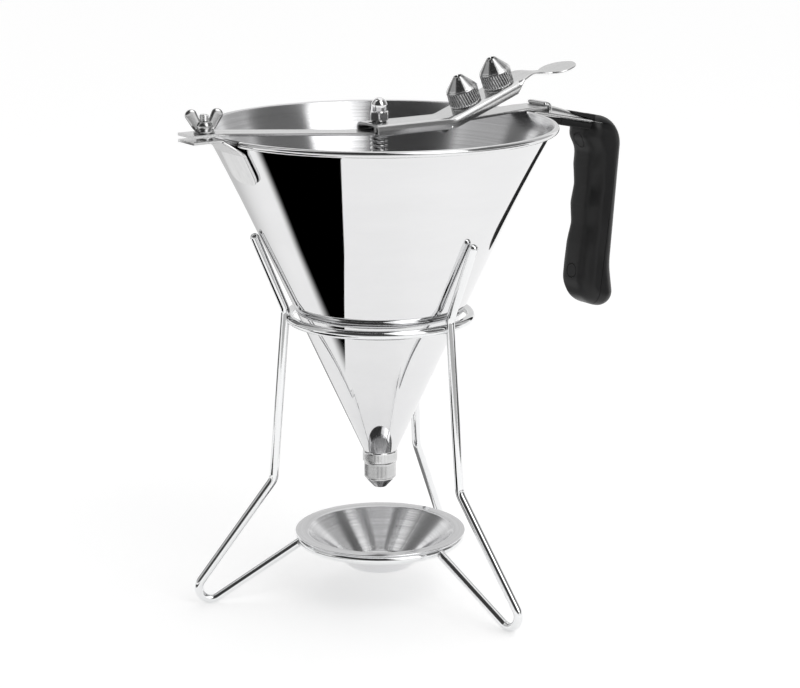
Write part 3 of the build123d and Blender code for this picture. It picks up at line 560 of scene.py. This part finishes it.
bar_line = stations(bent(bar_corners, [8.0] * 4), 4.0)[0]
bar = skin("flat_cross_bar", strip_grid(bar_line, half_width=8.0, thick=strip_sheet, edge=0.4))
pierce(bar, drill(0, radius=3.1, low=240, high=260))
pierce(bar, drill(stud_x, radius=2.7, low=250, high=270))
coat(bar, satin_strip)
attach(bar, "funnel")
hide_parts("cross_bar")

# ------------------------------------------------------------------ WING NUT
# A cast nut with a broad foot, a round hub and two slot-shaped wings that lean out, grey with zinc
# plating. It is turned by hand to free the bar.
nut_low, nut_turn, wing_lean = 260.16, -15.0, 28.0
hub = lathe([(2.6, 0), (5.1, 0), (5.5, 0.3), (5.5, 0.55), (5.1, 0.9), (4.2, 1.15), (3.95, 1.5), (4.1, 2.2),
             (4.25, 3.0), (4.2, 3.7), (3.95, 4.5), (3.5, 5.2), (3.0, 5.6), (2.6, 5.7)], 64)


def wing(length, width, thick, lean, place):
    """Wing of the nut: rows are slots drawn at shares m of the full outline, their depth thick / 2 *
    (1 - m^3)^(1/3), so the faces are slightly round and run into the edge. It leans from the upright."""
    m = np.concatenate([np.linspace(0.08, 0.8, 7), np.cos(np.linspace(0.6, 0, 7))])
    m = np.concatenate([m, m[-2::-1]])[:, None]
    face = np.sign(np.arange(len(m)) - len(m) // 2)[:, None]
    depth = thick / 2 * (1 - np.clip(m, 0, 1) ** 3) ** (1 / 3) * face
    t = angles(48) + 0.01
    x = np.sign(np.cos(t)) * (length - width) / 2 + width / 2 * m * np.cos(t)
    z = width / 2 * m * np.sin(t) * (1 + 0.10 * np.tanh(x))
    c, s = math.cos(lean), math.sin(lean)
    return np.stack([x * c - z * s + place[0], depth + 0 * x, x * s + z * c + place[1]], -1)


def on_stud(grid):
    """The grid turned as the nut stands and moved onto the stud."""
    return turned_about(grid, nut_turn) + [stud_x, 0, nut_low]


wings = [wing(length=11.6, width=5.6, thick=2.3, lean=math.radians(90 - side * wing_lean),
              place=(side * 5.3, 6.3)) for side in (-1, 1)]
wing_nut = skin("wing_nut_cast", *map(on_stud, wings), crease=60)
wing_hub = skin("wing_nut_hub", on_stud(hub), loop=True, crease=35)
zinc_plate = metal("zinc_plate", (0.62, 0.62, 0.62), (300, 300, 300),
                   shade=0.20, polish=0.10, dull=0.22, relief=4e-6, place="Object")
for piece in (wing_nut, wing_hub):
    coat(piece, zinc_plate)
    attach(piece, "wing_nut")
    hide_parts("wing_nut")

# -------------------------------------------------------- VALVE ROD AND SPRING
# A 6 mm stainless rod whose needle closes the nozzle from inside. A collar is fixed on it, and a
# spring of 1.2 mm wire between the collar and the bar pushes the needle shut.
rod_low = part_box("valve_rod")[0].z / mm
needle = [(0, rod_low), (0.8, rod_low), (1.0, rod_low + 0.23), (3.0, rod_low + 5.03)]
rod = skin("needle_rod", lathe(needle + [(3.0, 263.8), (2.7, 264.08), (0, 264.08)], 48), crease=30)
# The rod's steel is painted darker than the other steel: painted shade where the spring's coils shade it.
coat(rod, metal("rod_steel_painted_shade", (0.50, 0.50, 0.50), (40, 20, 1),
                shade=0.16, polish=0.10, dull=0.20, relief=2e-6))
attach(rod, "rod")
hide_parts("valve_rod")
collar_outline = [(3.0, 215.7), (5.7, 215.7), (6.0, 216.0), (6.0, 218.4), (5.7, 218.7), (3.0, 218.7)]
collar = skin("rod_collar", lathe(collar_outline, 64), loop=True, crease=30)
coat(collar, turned_steel)
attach(collar, "rod")
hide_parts("spring_collar")
coils, closed_coils, closed_pitch = 14, 0.8, 1.35
coil_top, coil_height, coil_radius, coil_wire = 250.1, 30.8, 4.15, 0.6
open_coils = coils - 2 * closed_coils
open_pitch = (coil_height - 2 * closed_coils * closed_pitch) / open_coils
turns = np.linspace(0, coils, coils * 40 + 1)
closed = np.clip(turns, 0, closed_coils) + np.clip(turns - coils + closed_coils, 0, closed_coils)
opened = np.clip(turns - closed_coils, 0, open_coils)
coil_z = coil_top - closed * closed_pitch - opened * open_pitch
a = (2 * math.pi * turns)[:, None]
outward = np.concatenate([np.cos(a), np.sin(a), 0 * a], 1)
middle = coil_radius * outward + coil_z[:, None] * [0, 0, 1]
rising = np.cross(courses(middle), outward)
b = angles(14)[None, :, None]
coil = middle[:, None] + coil_wire * (np.cos(b) * outward[:, None] + np.sin(b) * rising[:, None])
spring = skin("coil_spring", coil)
coat(spring, metal("spring_wire", (0.80, 0.80, 0.80), (400, 20, 1),
                   shade=0.14, polish=0.08, dull=0.18, relief=2e-6))
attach(spring, "rod")
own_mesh(spring)
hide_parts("spring")

# ------------------------------------------------------------------- LEVER
# A channel pressed from 1.2 mm sheet, bent up beyond the pin that it turns on, which goes through a
# lug under the bar. Its flanges stop short of the thumb end, which is flat, waisted, and widens to a
# round tab that curls up. The nut on the rod rides on it.
arm = math.radians(20)
lever_sheet, flange_depth, flange_run, flange_taper = 1.2, 6.0, 43.5, 0.72
lever_start, arm_start, tab_start, lever_end = -7.2, 40.5, 110.0, 128.2
tab_middle, tab_radius = 117.9, 10.3
lever_corners = [(lever_start, 256.5), (arm_start, 256.5), (95.0, 276.34), (tab_start, 275.14),
                 (128.3, 279.37)]
plan_x = [lever_start, 85.0, 88.5, 91.0, 94.0, 97.3, 100.0, 102.9, 106.0, 108.5, tab_start]
plan_y = [10.5, 10.5, 10.0, 9.3, 8.4, 7.0, 5.5, 4.7, 5.2, 6.0, 6.6]
lever_line = stations(bent(lever_corners, [11.0, 18.0, 25.0]), 0.5)[0]
tip = lever_end - 3.0 * (1 - np.sin(np.linspace(0, math.pi / 2, 14)))
tip = np.stack([tip, np.interp(tip, *lever_line.T)], 1)
lever_line = np.concatenate([lever_line[lever_line[:, 0] < tip[0, 0] - 0.1], tip])
lever_x = lever_line[:, 0]
even = np.arange(lever_start, lever_end, 0.2)
plan = np.interp(lever_x, even, smoothed(np.interp(even, plan_x, plan_y), 8))
tab = np.sqrt(np.clip(tab_radius ** 2 - (lever_x - tab_middle) ** 2, 0, None))
neck = np.maximum(plan, np.where(lever_x > 108.5, tab, 0))
lever_half = np.maximum(np.where(lever_x > tab_start, tab, neck), 0.65)
arm_run = np.clip(lever_x - arm_start, 0, None) / math.cos(arm)
lever_deep = flange_depth - np.clip(arm_run - flange_run, 0, None) * flange_taper
lever_deep = np.clip(lever_deep, lever_sheet, flange_depth)
lever_deep = np.where(lever_x > 95, lever_sheet, lever_deep)


def channel_grid(line, half, deep, sheet, shoulder):
    """Channel of sheet open downwards along a line that is the middle of its top face: at each point
    the outer face goes up one flange, round a shoulder, across and down the other, and the inner face
    returns one sheet thickness inside it. Where the flange is no deeper than the sheet it is a strip."""
    w, d = half[:, None], deep[:, None]
    r = np.clip(np.minimum(shoulder, d - 0.45), 0.55, np.maximum(w - 0.02, 0.56))
    q = np.maximum(r - sheet, 0.0) + 0.05
    a = np.linspace(0, math.pi / 2, 8)
    lip = np.linspace(math.pi, 0, 9)
    side_y = w - sheet / 2 + sheet / 2 * np.cos(lip)
    side_n = -d + sheet / 2 - sheet / 2 * np.sin(lip)
    out_y = w - r + r * np.cos(a)
    out_n = -r + r * np.sin(a)
    in_y = w - sheet - q + q * np.cos(a[::-1])
    in_n = -sheet - q + q * np.sin(a[::-1])
    in_n = np.where(d <= sheet + 1e-6, -sheet, np.maximum(in_n, -d + sheet / 2))
    top = np.linspace(1, -1, 14)[1:-1]
    y = np.concatenate([side_y, out_y, (w - r) * top, -out_y[:, ::-1], -side_y[:, ::-1], -in_y[:, ::-1],
                        (w - sheet - q) * -top, in_y], 1)
    n = np.concatenate([side_n, out_n, 0 * w * top, out_n[:, ::-1], side_n[:, ::-1], in_n[:, ::-1],
                        -sheet + 0 * w * top, in_n], 1)
    return carried(line, y, n)


def block(name, outline, half):
    """Straight-sided block over an outline in the plane of x and z."""
    p = np.array(outline, float)
    sides = [np.stack([p[:, 0], np.full(len(p), y), p[:, 1]], 1) for y in (-half, half)]
    return skin(name, np.stack(sides), crease=30)


lever_grid = channel_grid(lever_line, lever_half, lever_deep, sheet=lever_sheet, shoulder=3.2)
lever = skin("channel_lever", lever_grid, crease=45)
pierce(lever, block("slot", [(-5.6, 250), (3.5, 250), (3.5, 262), (-5.6, 262)], half=3.35))
coat(lever, satin_strip)
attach(lever, "lever")
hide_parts("lever")
pin_outline = runs([(0, -10.9), (0.7, -10.85), (1.1, -10.65), (1.25, -10.3), (1.25, 10.3), (1.1, 10.65),
                    (0.7, 10.85), (0, 10.9)], 4)
pin = skin("pivot_pin_round", lathe(pin_outline, 32)[..., [0, 2, 1]] * [1, 1, -1] + [40.0, 0, 251.28])
coat(pin, bright_fitting)
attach(pin, "lever")
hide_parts("pivot_pin")


def pillow(outline, half, edge, steps=7):
    """Plate with round edges: the outline in the plane of x and z is drawn at depths from -half to
    half, moved in by edge * (1 - cos) where the depth nears each face."""
    line = np.array(outline, float)
    inward = normals(np.concatenate([line[-1:], line, line[:1]]))[1:-1]
    area = (line[:, 0] * np.roll(line[:, 1], -1) - np.roll(line[:, 0], -1) * line[:, 1]).sum()
    inward = inward if area > 0 else -inward
    a = np.linspace(0, math.pi / 2, steps)
    depth = np.concatenate([-half + edge * (1 - np.sin(a[::-1])), half - edge * (1 - np.sin(a))])
    move = np.concatenate([edge * (1 - np.cos(a[::-1])), edge * (1 - np.cos(a))])
    p = line[None] + inward[None] * move[:, None, None]
    return np.stack([p[..., 0], depth[:, None] + 0 * p[..., 0], p[..., 1]], -1)


lug_corners = [(40, 253.45), (37, 253.3), (37, 247.63), (43, 247.63), (43, 253.6), (40, 253.45)]
lug = skin("pivot_lug_round", pillow(bent(lug_corners, [0.3, 2.4, 2.4, 0.3])[:-1], half=3.0, edge=0.5))
coat(lug, bright_fitting)
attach(lug, "funnel")
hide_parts("pivot_lug")

# ----------------------------------------------------------------- ACORN NUT
# A domed hexagon nut, bright plated, screwed on the top of the rod. Its lower face rests on the
# lever.
nut_base, half_flats, half_corners = 256.58, 4.6, 5.22
dome_radius, dome_base = 4.15, 8.8
a, t = angles(144), np.linspace(0, math.pi / 2, 14)
hexagon = half_flats / np.cos((a + math.radians(4.5)) % (math.pi / 3) - math.pi / 6)
hexagon = np.minimum(hexagon, half_corners)
nut_rows = [(0, 0), (3.2, 0), (3.5, 0.1), (4.75, 1.1), (5.1, 1.35), (5.4, 1.6), (5.4, 5.0), (5.1, 5.35),
            (4.6, 5.7), (4.3, 5.85), (dome_radius, 5.95), (dome_radius, 6.4)]
nut_dome = np.stack([dome_radius * np.cos(t), dome_base + dome_radius * np.sin(t)], 1)
nut_dome[-1, 0] = 0
nut_r, nut_z = np.split(np.concatenate([nut_rows, nut_dome]), 2, 1)
nut_r = np.minimum(nut_r, np.where(nut_z > 5.9, 9, hexagon))
nut_grid = np.stack([nut_r * np.cos(a), nut_r * np.sin(a), nut_base + nut_z + 0 * a], -1)
acorn = skin("acorn_nut_plated", nut_grid, crease=25)
coat(acorn, metal("mirror_nut", (0.88, 0.88, 0.885), (120, 120, 120),
                  shade=0.06, polish=0.03, dull=0.08, relief=1e-6, place="Object"))
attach(acorn, "rod")
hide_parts("acorn_nut")

# ----------------------------------------------- NOZZLE PEGS AND SPARE NOZZLES
# Two round pegs riveted on the lever's arm, each with a spare nozzle of another bore pushed over it,
# open end down.
peg_places = {"a": (55.911, 262.109), "b": (77.806, 270.078)}
peg_outline = [(0, 0), (6.7, 0), (6.7, 5.5), (6.3, 6.0), (0, 6.0)]


def on_arm(grid, place):
    """The grid leant with the lever's arm and moved to a place on it."""
    c, s = math.cos(arm), math.sin(arm)
    return grid @ np.array([[c, 0, s], [0, 1, 0], [-s, 0, c]]) + [place[0], 0, place[1]]


for name, place in peg_places.items():
    peg = skin("peg_" + name, on_arm(lathe(peg_outline, 64), place), crease=30)
    coat(peg, bright_fitting)
    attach(peg, "lever")
    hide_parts("nozzle_peg_" + name)
    spare_shape, spare_cut, cone = nozzle_grid(tip=2.75, teeth=36, depth=0.5, cross=0.5, notches=6)
    spare = skin("turned_spare_" + name, on_arm(spare_shape + [0, 0, 0.15], place), loop=True, crease=30)
    # Painted shade in the skirt's knurl grooves, and the cone painted a little darker.
    mark_painted_shade(spare, spare_cut ** 1.5 + 0.3 * cone)
    coat(spare, turned_steel)
    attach(spare, "spare_nozzle_" + name)
    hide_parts("spare_nozzle_" + name)

# ------------------------------------------------------- HANDLE BRACKET AND HOOD
# A 2 mm steel strip, spot welded to the cone, bent past the rim and down the middle of the grip.
# A pressed hood on its arm takes the end of the cross bar.
tang_slope = math.radians(11.5)
tang_bend, elbow = np.array([98.01, 254.3]), np.array([148.87, 243.95])
tang_corners = [(80.76, 232.0), (87.8, 246.0), tang_bend, elbow, (140.85, 152.3)]
tang_half, tang_round, tang_thick, half_upright = 8.0, 6.0, 2.0, 1.0206
hood_from, hood_to, hood_high, hood_low, hood_crown = 102, 135, 258.55, 247.6, 1.6
tang_line, tang_run = stations(bent(tang_corners, [3.0, 3.0, 8.0]), 0.8)
tang_end = tang_round - np.sqrt(tang_round ** 2 - np.clip(tang_round - tang_run, 0, None) ** 2)
tang_grid = strip_grid(tang_line, np.maximum(tang_half - tang_end, 0.3), tang_thick, edge=0.6)
tang = skin("strip_handle_bracket", tang_grid)
coat(tang, satin_strip)
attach(tang, "funnel")
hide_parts("handle_bracket")
hood_x = np.concatenate([[104.4, 107.3, 107.4], np.linspace(108.0, hood_to, 36)])
share = (hood_x - hood_from) / (hood_to - hood_from)
hood_top = hood_high + share * (hood_low - hood_high) + hood_crown * 4 * share * (1 - share)
tang_top = tang_bend[1] + half_upright - (hood_x - tang_bend[0]) * math.tan(tang_slope)
hood_foot = np.where(hood_x < 107.35, 257.45, tang_top - 0.3)
hood_rise = np.maximum(hood_top, tang_top + 0.05) - hood_foot
t = np.linspace(0, math.pi, 28)
arch_y = np.sign(np.cos(t)) * np.abs(np.cos(t)) ** 0.55
arch_n = np.sin(t) ** 0.5
hood_grid = np.stack(np.broadcast_arrays(hood_x[:, None], 7.0 * arch_y,
                                         hood_foot[:, None] + hood_rise[:, None] * arch_n), -1)


def rolled_lip(x, radius, half, foot, high):
    """Rolled edge of the hood: a round bead bent over the same arch as the hood, across it at x."""
    line = np.stack([half * arch_y, foot + (high - foot) * arch_n], 1)
    return wire_grid(line, radius, 16)[..., [1, 0, 2]] + [x, 0, 0]


mouth_lip = rolled_lip(x=104.6, radius=1.15, half=6.9, foot=257.9, high=258.65)
back_lip = rolled_lip(x=108.8, radius=0.5, half=6.9, foot=253.3, high=258.5)
hood = skin("pressed_hood", hood_grid, mouth_lip, back_lip, crease=50)
coat(hood, satin_strip)
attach(hood, "funnel")
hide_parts("handle_bracket")

# ---------------------------------------------------------------------- GRIP
# Two moulded halves of black plastic, screwed together through the tang. The inner half has uneven
# finger waves and a tongue under the tang, the outer half a lip over it. Both flanks are slightly
# hollow, and plugs cover the two screw heads.
grip_middle = np.array([148.0, 234.0])
grip_down = np.array([-0.08716, -0.99619])
grip_out = np.array([0.99619, -0.08716])
tang_down = np.array([math.cos(tang_slope), -math.sin(tang_slope)])
tang_up = np.array([-tang_down[1], tang_down[0]])
grip_back, grip_half, grip_edge = 10.05, 12.4, 8.0
tongue_start, tongue_gap, tongue_thick = 17.7, 1.05, 3.6
screw_runs = (0.0, 73.5)
finger_waves = [(69, -10.9), (58, -10.4), (47, -9.1), (36, -10.2), (25, -9.3), (14, -10.4)]


def grip_point(run, side):
    """Point this far down the grip's axis and this far out from it."""
    return grip_middle + grip_down * run + grip_out * side


def meeting(p, u, q, v):
    """Where the line through p along u meets the line through q along v."""
    return p + u * np.linalg.solve(np.array([u, -v]).T, q - p)[0]


top_edge = elbow + tang_up * 3.9
corner_in = meeting(top_edge, tang_down, grip_point(0, -15.0), grip_down)
corner_out = meeting(top_edge, tang_down, grip_point(0, grip_back), grip_down)
grip_corners = [grip_point(*place) for place in (
    (31, grip_back), (69, grip_back), (95, 16.4), (90.8, -11.0), *finger_waves, (6, -10.0))]
grip_corners += [corner_in + grip_down * 14, corner_in, corner_out, grip_point(31, grip_back)]
grip_line = bent(grip_corners, [40, 8.2, 17] + [14] * 6 + [10, 8.2, 8.2, 16.5])
grip_outline = points_at(grip_line, np.linspace(0, run_along(grip_line)[-1], 230, endpoint=False))


def grip_blank(name):
    """Whole grip before it is parted: the outline with round edges. Each side is then hollowed beside
    the fingers, along a sin^2 hump across the grip that is slightly deeper at each finger."""
    grid = pillow(grip_outline, grip_half, grip_edge, 14)
    run = (grid[..., [0, 2]] - grip_middle) @ grip_down
    side = (grid[..., [0, 2]] - grip_middle) @ grip_out
    across = np.sin(math.pi * np.clip((-2.9 - side) / 7.6, 0, 1)) ** 2
    length = np.clip((run - 9) / 9, 0, 1) * np.clip((90 - run) / 12, 0, 1)
    depth = 1.1 + 0.2 * np.cos(2 * math.pi * (run - 25) / 22)
    hollow = np.minimum(depth * across * length, np.abs(grid[..., 1]) * 0.4)
    grid[..., 1] -= np.sign(grid[..., 1]) * hollow
    return skin(name, grid, crease=50)


part_line = bent([elbow - tang_down * 60, elbow + tang_down * 5.2, grip_point(125, -0.8)], [9.0])
beyond = [grip_point(125, 90), elbow + tang_up * 90 + tang_down * 90, elbow - tang_down * 60 + tang_up * 90]
within = [grip_point(125, -90), elbow - tang_down * 60 - tang_up * 90]
seam = normals(part_line) * 0.14
grip_inner = grip_blank("grip_inner_half")
pierce(grip_inner, block("outer_side", np.concatenate([part_line - seam, beyond]), 30))
grip_outer = grip_blank("grip_outer_half")
pierce(grip_outer, block("inner_side", np.concatenate([part_line + seam, within]), 30))
step_top, step_low = grip_point(-93, -14.4), grip_point(93, -14.4)
pierce(grip_outer, block("step_side", [step_top, step_low, step_low - [53, 0], step_top - [53, 0]], 30))
tongue_from = tang_bend + tang_down * tongue_start - tang_up * tongue_gap
tongue_stop = elbow - tang_down * 4 - tang_up * tongue_gap
tongue_line = [tongue_from, tongue_stop, tongue_stop - tang_up * tongue_thick,
               tongue_from - tang_up * tongue_thick]
tongue_line = bent(tongue_line[3:] + tongue_line + tongue_line[:1], [0.6] * 4)[1:-1]
tongue = skin("grip_tongue", pillow(tongue_line, half=9.0, edge=0.6, steps=5), crease=50)
cover_from, cover_to = elbow - tang_down * 27 + tang_up * 3.3, elbow - tang_down * 11 + tang_up * 2.4
cover_line, cover_run = stations(np.stack([cover_from, cover_to]), 0.5)
cover_half = 8.6 - 3.0 * (1 - (1 - np.clip(1 - cover_run / 4.0, 0, 1) ** 2) ** 0.5)
cover_thick = np.interp(cover_run, [0, 16], [1.0, 2.9])
cover = skin("grip_lip", strip_grid(cover_line, cover_half, cover_thick), crease=50)


def across_grip(radius, low, high, run, cols=40):
    """Round bar square across the grip at a screw: low and high are places along grip_out."""
    bar_grid = lathe([(0, low), (radius, low), (radius, high), (0, high)], cols)
    (c, s), middle = grip_out, grip_point(run, 0)
    return np.stack([bar_grid[..., 2] * c - bar_grid[..., 0] * s + middle[0], bar_grid[..., 1],
                     bar_grid[..., 2] * s + bar_grid[..., 0] * c + middle[1]], -1)


plugs = []
for number, screw_run in enumerate(screw_runs):
    pierce(grip_inner, skin("well", across_grip(radius=4.1, low=-30, high=-7.0, run=screw_run)))
    plug = skin("screw_plug_%d" % number, across_grip(radius=3.75, low=-30, high=-6.8, run=screw_run))
    pierce(plug, grip_blank("plug_face"), "INTERSECT")
    plugs.append(plug)


def moulded_plastic(name, colour):
    """Black moulded plastic: a fine pebbled grain in the bump, and duller, paler patches where hands
    have rubbed it."""
    material, tree, shader = new_material(name)
    place = new_node(tree, "TexCoord", {}, "Object")
    pebble = new_node(tree, "TexNoise", {"Vector": place, "Scale": 1400, "Detail": 2})
    rub = new_node(tree, "TexNoise", {"Vector": place, "Scale": 45, "Detail": 4})
    tone = mixed(tree, rub, (*colour, 1), (*(2.4 * c for c in colour), 1))
    rough = new_node(tree, "MapRange", {"Value": rub, "From Min": 0.3, "From Max": 0.7,
                                        "To Min": 0.32, "To Max": 0.46})
    bump = new_node(tree, "Bump", {"Height": pebble, "Distance": 6e-5, "Strength": 0.6})
    feed(tree, shader, {"Base Color": tone, "Roughness": rough, "Normal": bump, "Specular IOR Level": 0.34})
    return material


black_plastic = moulded_plastic("black_plastic", (0.003, 0.003, 0.0032))
for piece, node in ((grip_inner, "grip_inner"), (grip_outer, "grip_outer"), (tongue, "grip_inner"),
                    (cover, "grip_outer"), (plugs[0], "grip_plugs"), (plugs[1], "grip_plugs")):
    coat(piece, black_plastic)
    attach(piece, "funnel")
    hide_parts(node)
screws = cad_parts["grip_screws"]
screws.data.materials.clear()
coat(screws, bright_fitting)

# --------------------------------------------------- FLOOR, LIGHT AND CAMERA
# A pale sheet under the object in a white room. Grey and black cards on the floor and screens round
# the object glow with their own even tones, unlit by any lamp, and only the polished metal sees them:
# painted reflections that give the steel its edges. A soft lamp stands behind the camera, to its
# right, and a wide lamp overhead leaves a faint shadow.
away = Vector((0.566406, 0.824126, 0.0))
right = Vector((away.y, -away.x, 0.0))


def stage_sheet(name, points, faces):
    """Sheet that isn't part of the object, its points in metres."""
    mesh = bpy.data.meshes.new(name)
    mesh.from_pydata(points, [], faces)
    sheet = placed(name, mesh)
    return sheet


def seen_rays(tree):
    """One where a camera, glossy or transmission ray looks, nought for the light of diffuse rays."""
    path = tree.nodes.new("ShaderNodeLightPath").outputs
    seen = new_node(tree, "Math", {0: path["Is Camera Ray"], 1: path["Is Glossy Ray"]}, operation="MAXIMUM")
    return new_node(tree, "Math", {0: seen, 1: path["Is Transmission Ray"]}, operation="MAXIMUM")


floor = stage_sheet("floor", [(-6, -6, 0), (6, -6, 0), (6, 6, 0), (-6, 6, 0)], [(0, 1, 2, 3)])
paper, tree, shader = new_material("pale_paper")
lift = new_node(tree, "Math", {0: seen_rays(tree), 1: 0.40}, operation="MULTIPLY")
feed(tree, shader, {"Base Color": (0.76, 0.76, 0.76, 1), "Roughness": 0.9, "Specular IOR Level": 0.0,
                    "Emission Color": (1, 1, 1, 1), "Emission Strength": lift})
coat(floor, paper)

world = bpy.data.worlds.new("white_room")
bpy.context.scene.world = world
world.use_nodes = True
tree = world.node_tree
level = new_node(tree, "MapRange", {"Value": seen_rays(tree), "To Min": 0.5, "To Max": 1.0})
feed(tree, tree.nodes["Background"], {"Color": (1, 1, 1, 1), "Strength": level})


def faded(name, tone, near_fade, far_fade):
    """Even glowing tone for a card, a painted reflection, clear at its first and last edge over these
    shares of its width.
    """
    material, tree, shader = new_material(name)
    tree.nodes.remove(shader)
    across = new_node(tree, "SeparateXYZ", {0: new_node(tree, "TexCoord", {}, "UV")}, "X")
    near, far = (new_node(tree, "MapRange", {"Value": across, "From Min": low, "From Max": high},
                          interpolation_type="SMOOTHSTEP")
                 for low, high in ((-0.001, near_fade), (1.001, 1 - far_fade)))
    both = new_node(tree, "Math", {0: near, 1: far}, operation="MULTIPLY")
    glow = new_node(tree, "Emission", {"Color": (tone, tone, tone, 1)})
    mix = new_node(tree, "MixShader", {"Fac": both, 1: new_node(tree, "BsdfTransparent", {}), 2: glow})
    feed(tree, tree.nodes["Material Output"], {"Surface": mix})
    return material


def reflected(name, points, faces, shares, tone, near_fade, far_fade):
    """Glowing sheet that only polished metal sees, a painted reflection. shares give each corner's place
    across it, from 0 to 1.
    """
    sheet = stage_sheet(name, points, faces)
    sheet.visible_camera = sheet.visible_diffuse = sheet.visible_shadow = sheet.visible_transmission = False
    sheet.data.uv_layers.new(name="across").data.foreach_set("uv", np.array(shares, np.float32).ravel())
    coat(sheet, faded(name, tone, near_fade, far_fade))


def card(name, tone, corners, fade=0.0, height=0.003):
    """Card over the floor. Each corner is given as metres to the camera's right and metres away from
    the camera past the object's axis. The side from its second to its third corner may fade."""
    points = [tuple(right * r + away * d + Vector((0, 0, height))) for r, d in corners]
    reflected(name, points, [(0, 1, 2, 3)], [(1, 0), (0, 0), (0, 1), (1, 1)], tone, fade, 0)


def screen(name, tone, azimuths, elevations, fade, reach=2.2, middle=0.2, wide=24, high=8):
    """Part of a sphere round the object, its sides faded over a share of its width. Azimuth 0 is
    beyond the object, 90 to the camera's right, 180 behind the camera."""
    az, el = np.meshgrid(np.radians(np.linspace(*azimuths, wide + 1)),
                         np.radians(np.linspace(*elevations, high + 1)), indexing="ij")
    way = np.stack([np.cos(el) * np.sin(az), np.cos(el) * np.cos(az), np.sin(el)], -1)
    points = reach * (way @ np.array([[*right], [*away], [0, 0, 1]])) + [0, 0, middle]
    i, j = patches(wide, high)
    first = i * (high + 1) + j
    faces = np.stack([first, first + high + 1, first + high + 2, first + 1], 1).tolist()
    shares = np.stack([np.stack([i, i + 1, i + 1, i], 1) / wide,
                       np.stack([j, j, j + 1, j + 1], 1) / high], -1)
    reflected(name, points.reshape(-1, 3), faces, shares, tone, fade, fade)


# Cards and screens that glow with even tones: painted reflections for the metal.
card("low_card", 0.0, [(-0.100, -0.24), (-0.126, -0.008), (-0.36, 0.064), (-0.5, -0.28)], 0.2)
screen("rear_screen", 0.75, (-34, 34), (2, 34), 0.2)
screen("rear_right_screen", 0.50, (36, 66), (2, 54), 0.2)
screen("right_screen", 0.16, (62, 125), (2, 56), 0.12)
screen("camera_screen", 0.05, (148, 252), (2, 84), 0.08)
screen("left_screen", 0.50, (248, 296), (2, 48), 0.15)
screen("rear_left_screen", 0.17, (291, 320), (2, 60), 0.15)
screen("upper_screen", 0.03, (285, 336), (50, 88), 0.12)
card("front_floor_card", 0.48, [(-0.9, -0.62), (1.1, -0.62), (1.1, -1.7), (-0.9, -1.7)])
card("right_floor_card", 0.10, [(0.5, -0.5), (1.7, -0.6), (1.7, 0.3), (0.52, 0.2)])
card("left_floor_card", 0.10, [(-0.55, 0.5), (-1.7, 0.6), (-1.7, -0.2), (-0.55, -0.05)])
card("rear_floor_card", 0.22, [(0.02, 0.05), (-0.03, 0.05), (-0.22, 0.42), (0.05, 0.45)], 0.5)
card("far_floor_card", 0.60, [(0.0, 1.9), (0.0, 0.06), (-0.6, 0.06), (-1.2, 1.9)], 0.3, height=0.002)


def lamp(name, kind, place, target, **values):
    """Lamp at a place in metres, turned to a target, with its light's own values."""
    light = bpy.data.lights.new(name, kind)
    for key, value in values.items():
        setattr(light, key, value)
    holder = placed(name, light)
    holder.location = place
    holder.rotation_euler = (Vector(target) - Vector(place)).to_track_quat("-Z", "Y").to_euler()
    holder.visible_camera = False
    return holder


box_way = right * math.sin(math.radians(141)) + away * math.cos(math.radians(141))
lamp("soft_box", "AREA", box_way * 1.25 + Vector((0, 0, 1.25)), (0, 0, 0.2),
     shape="RECTANGLE", size=1.05, size_y=1.5, energy=7.0)
ceiling = lamp("ceiling", "SUN", right * 0.75 + away * 0.95 + Vector((0, 0, 1.5)), (0, 0, 0.1),
               angle=math.radians(100), energy=1.1)
ceiling.visible_glossy = False

yaw, pitch = math.radians(0.52), math.radians(13.88)
camera_back, camera_height = 1.1846, 0.4303
sensor, focal_pixels, photo_pixels = 36, 2291, 800
level_view = away * math.cos(yaw) + right * math.sin(yaw)
side_view = Vector((level_view.y, -level_view.x, 0))
look = level_view * math.cos(pitch) - Vector((0, 0, 1)) * math.sin(pitch)
head = side_view.cross(look)
camera = bpy.data.cameras.new("camera")
camera.sensor_width, camera.lens = sensor, focal_pixels / photo_pixels * sensor
camera_place = placed("camera", camera)
camera_place.matrix_world = Matrix(((side_view.x, head.x, -look.x, -away.x * camera_back),
                                    (side_view.y, head.y, -look.y, -away.y * camera_back),
                                    (side_view.z, head.z, -look.z, camera_height), (0, 0, 0, 1)))
bpy.context.scene.camera = camera_place
bpy.context.scene.view_settings.view_transform = "Standard"
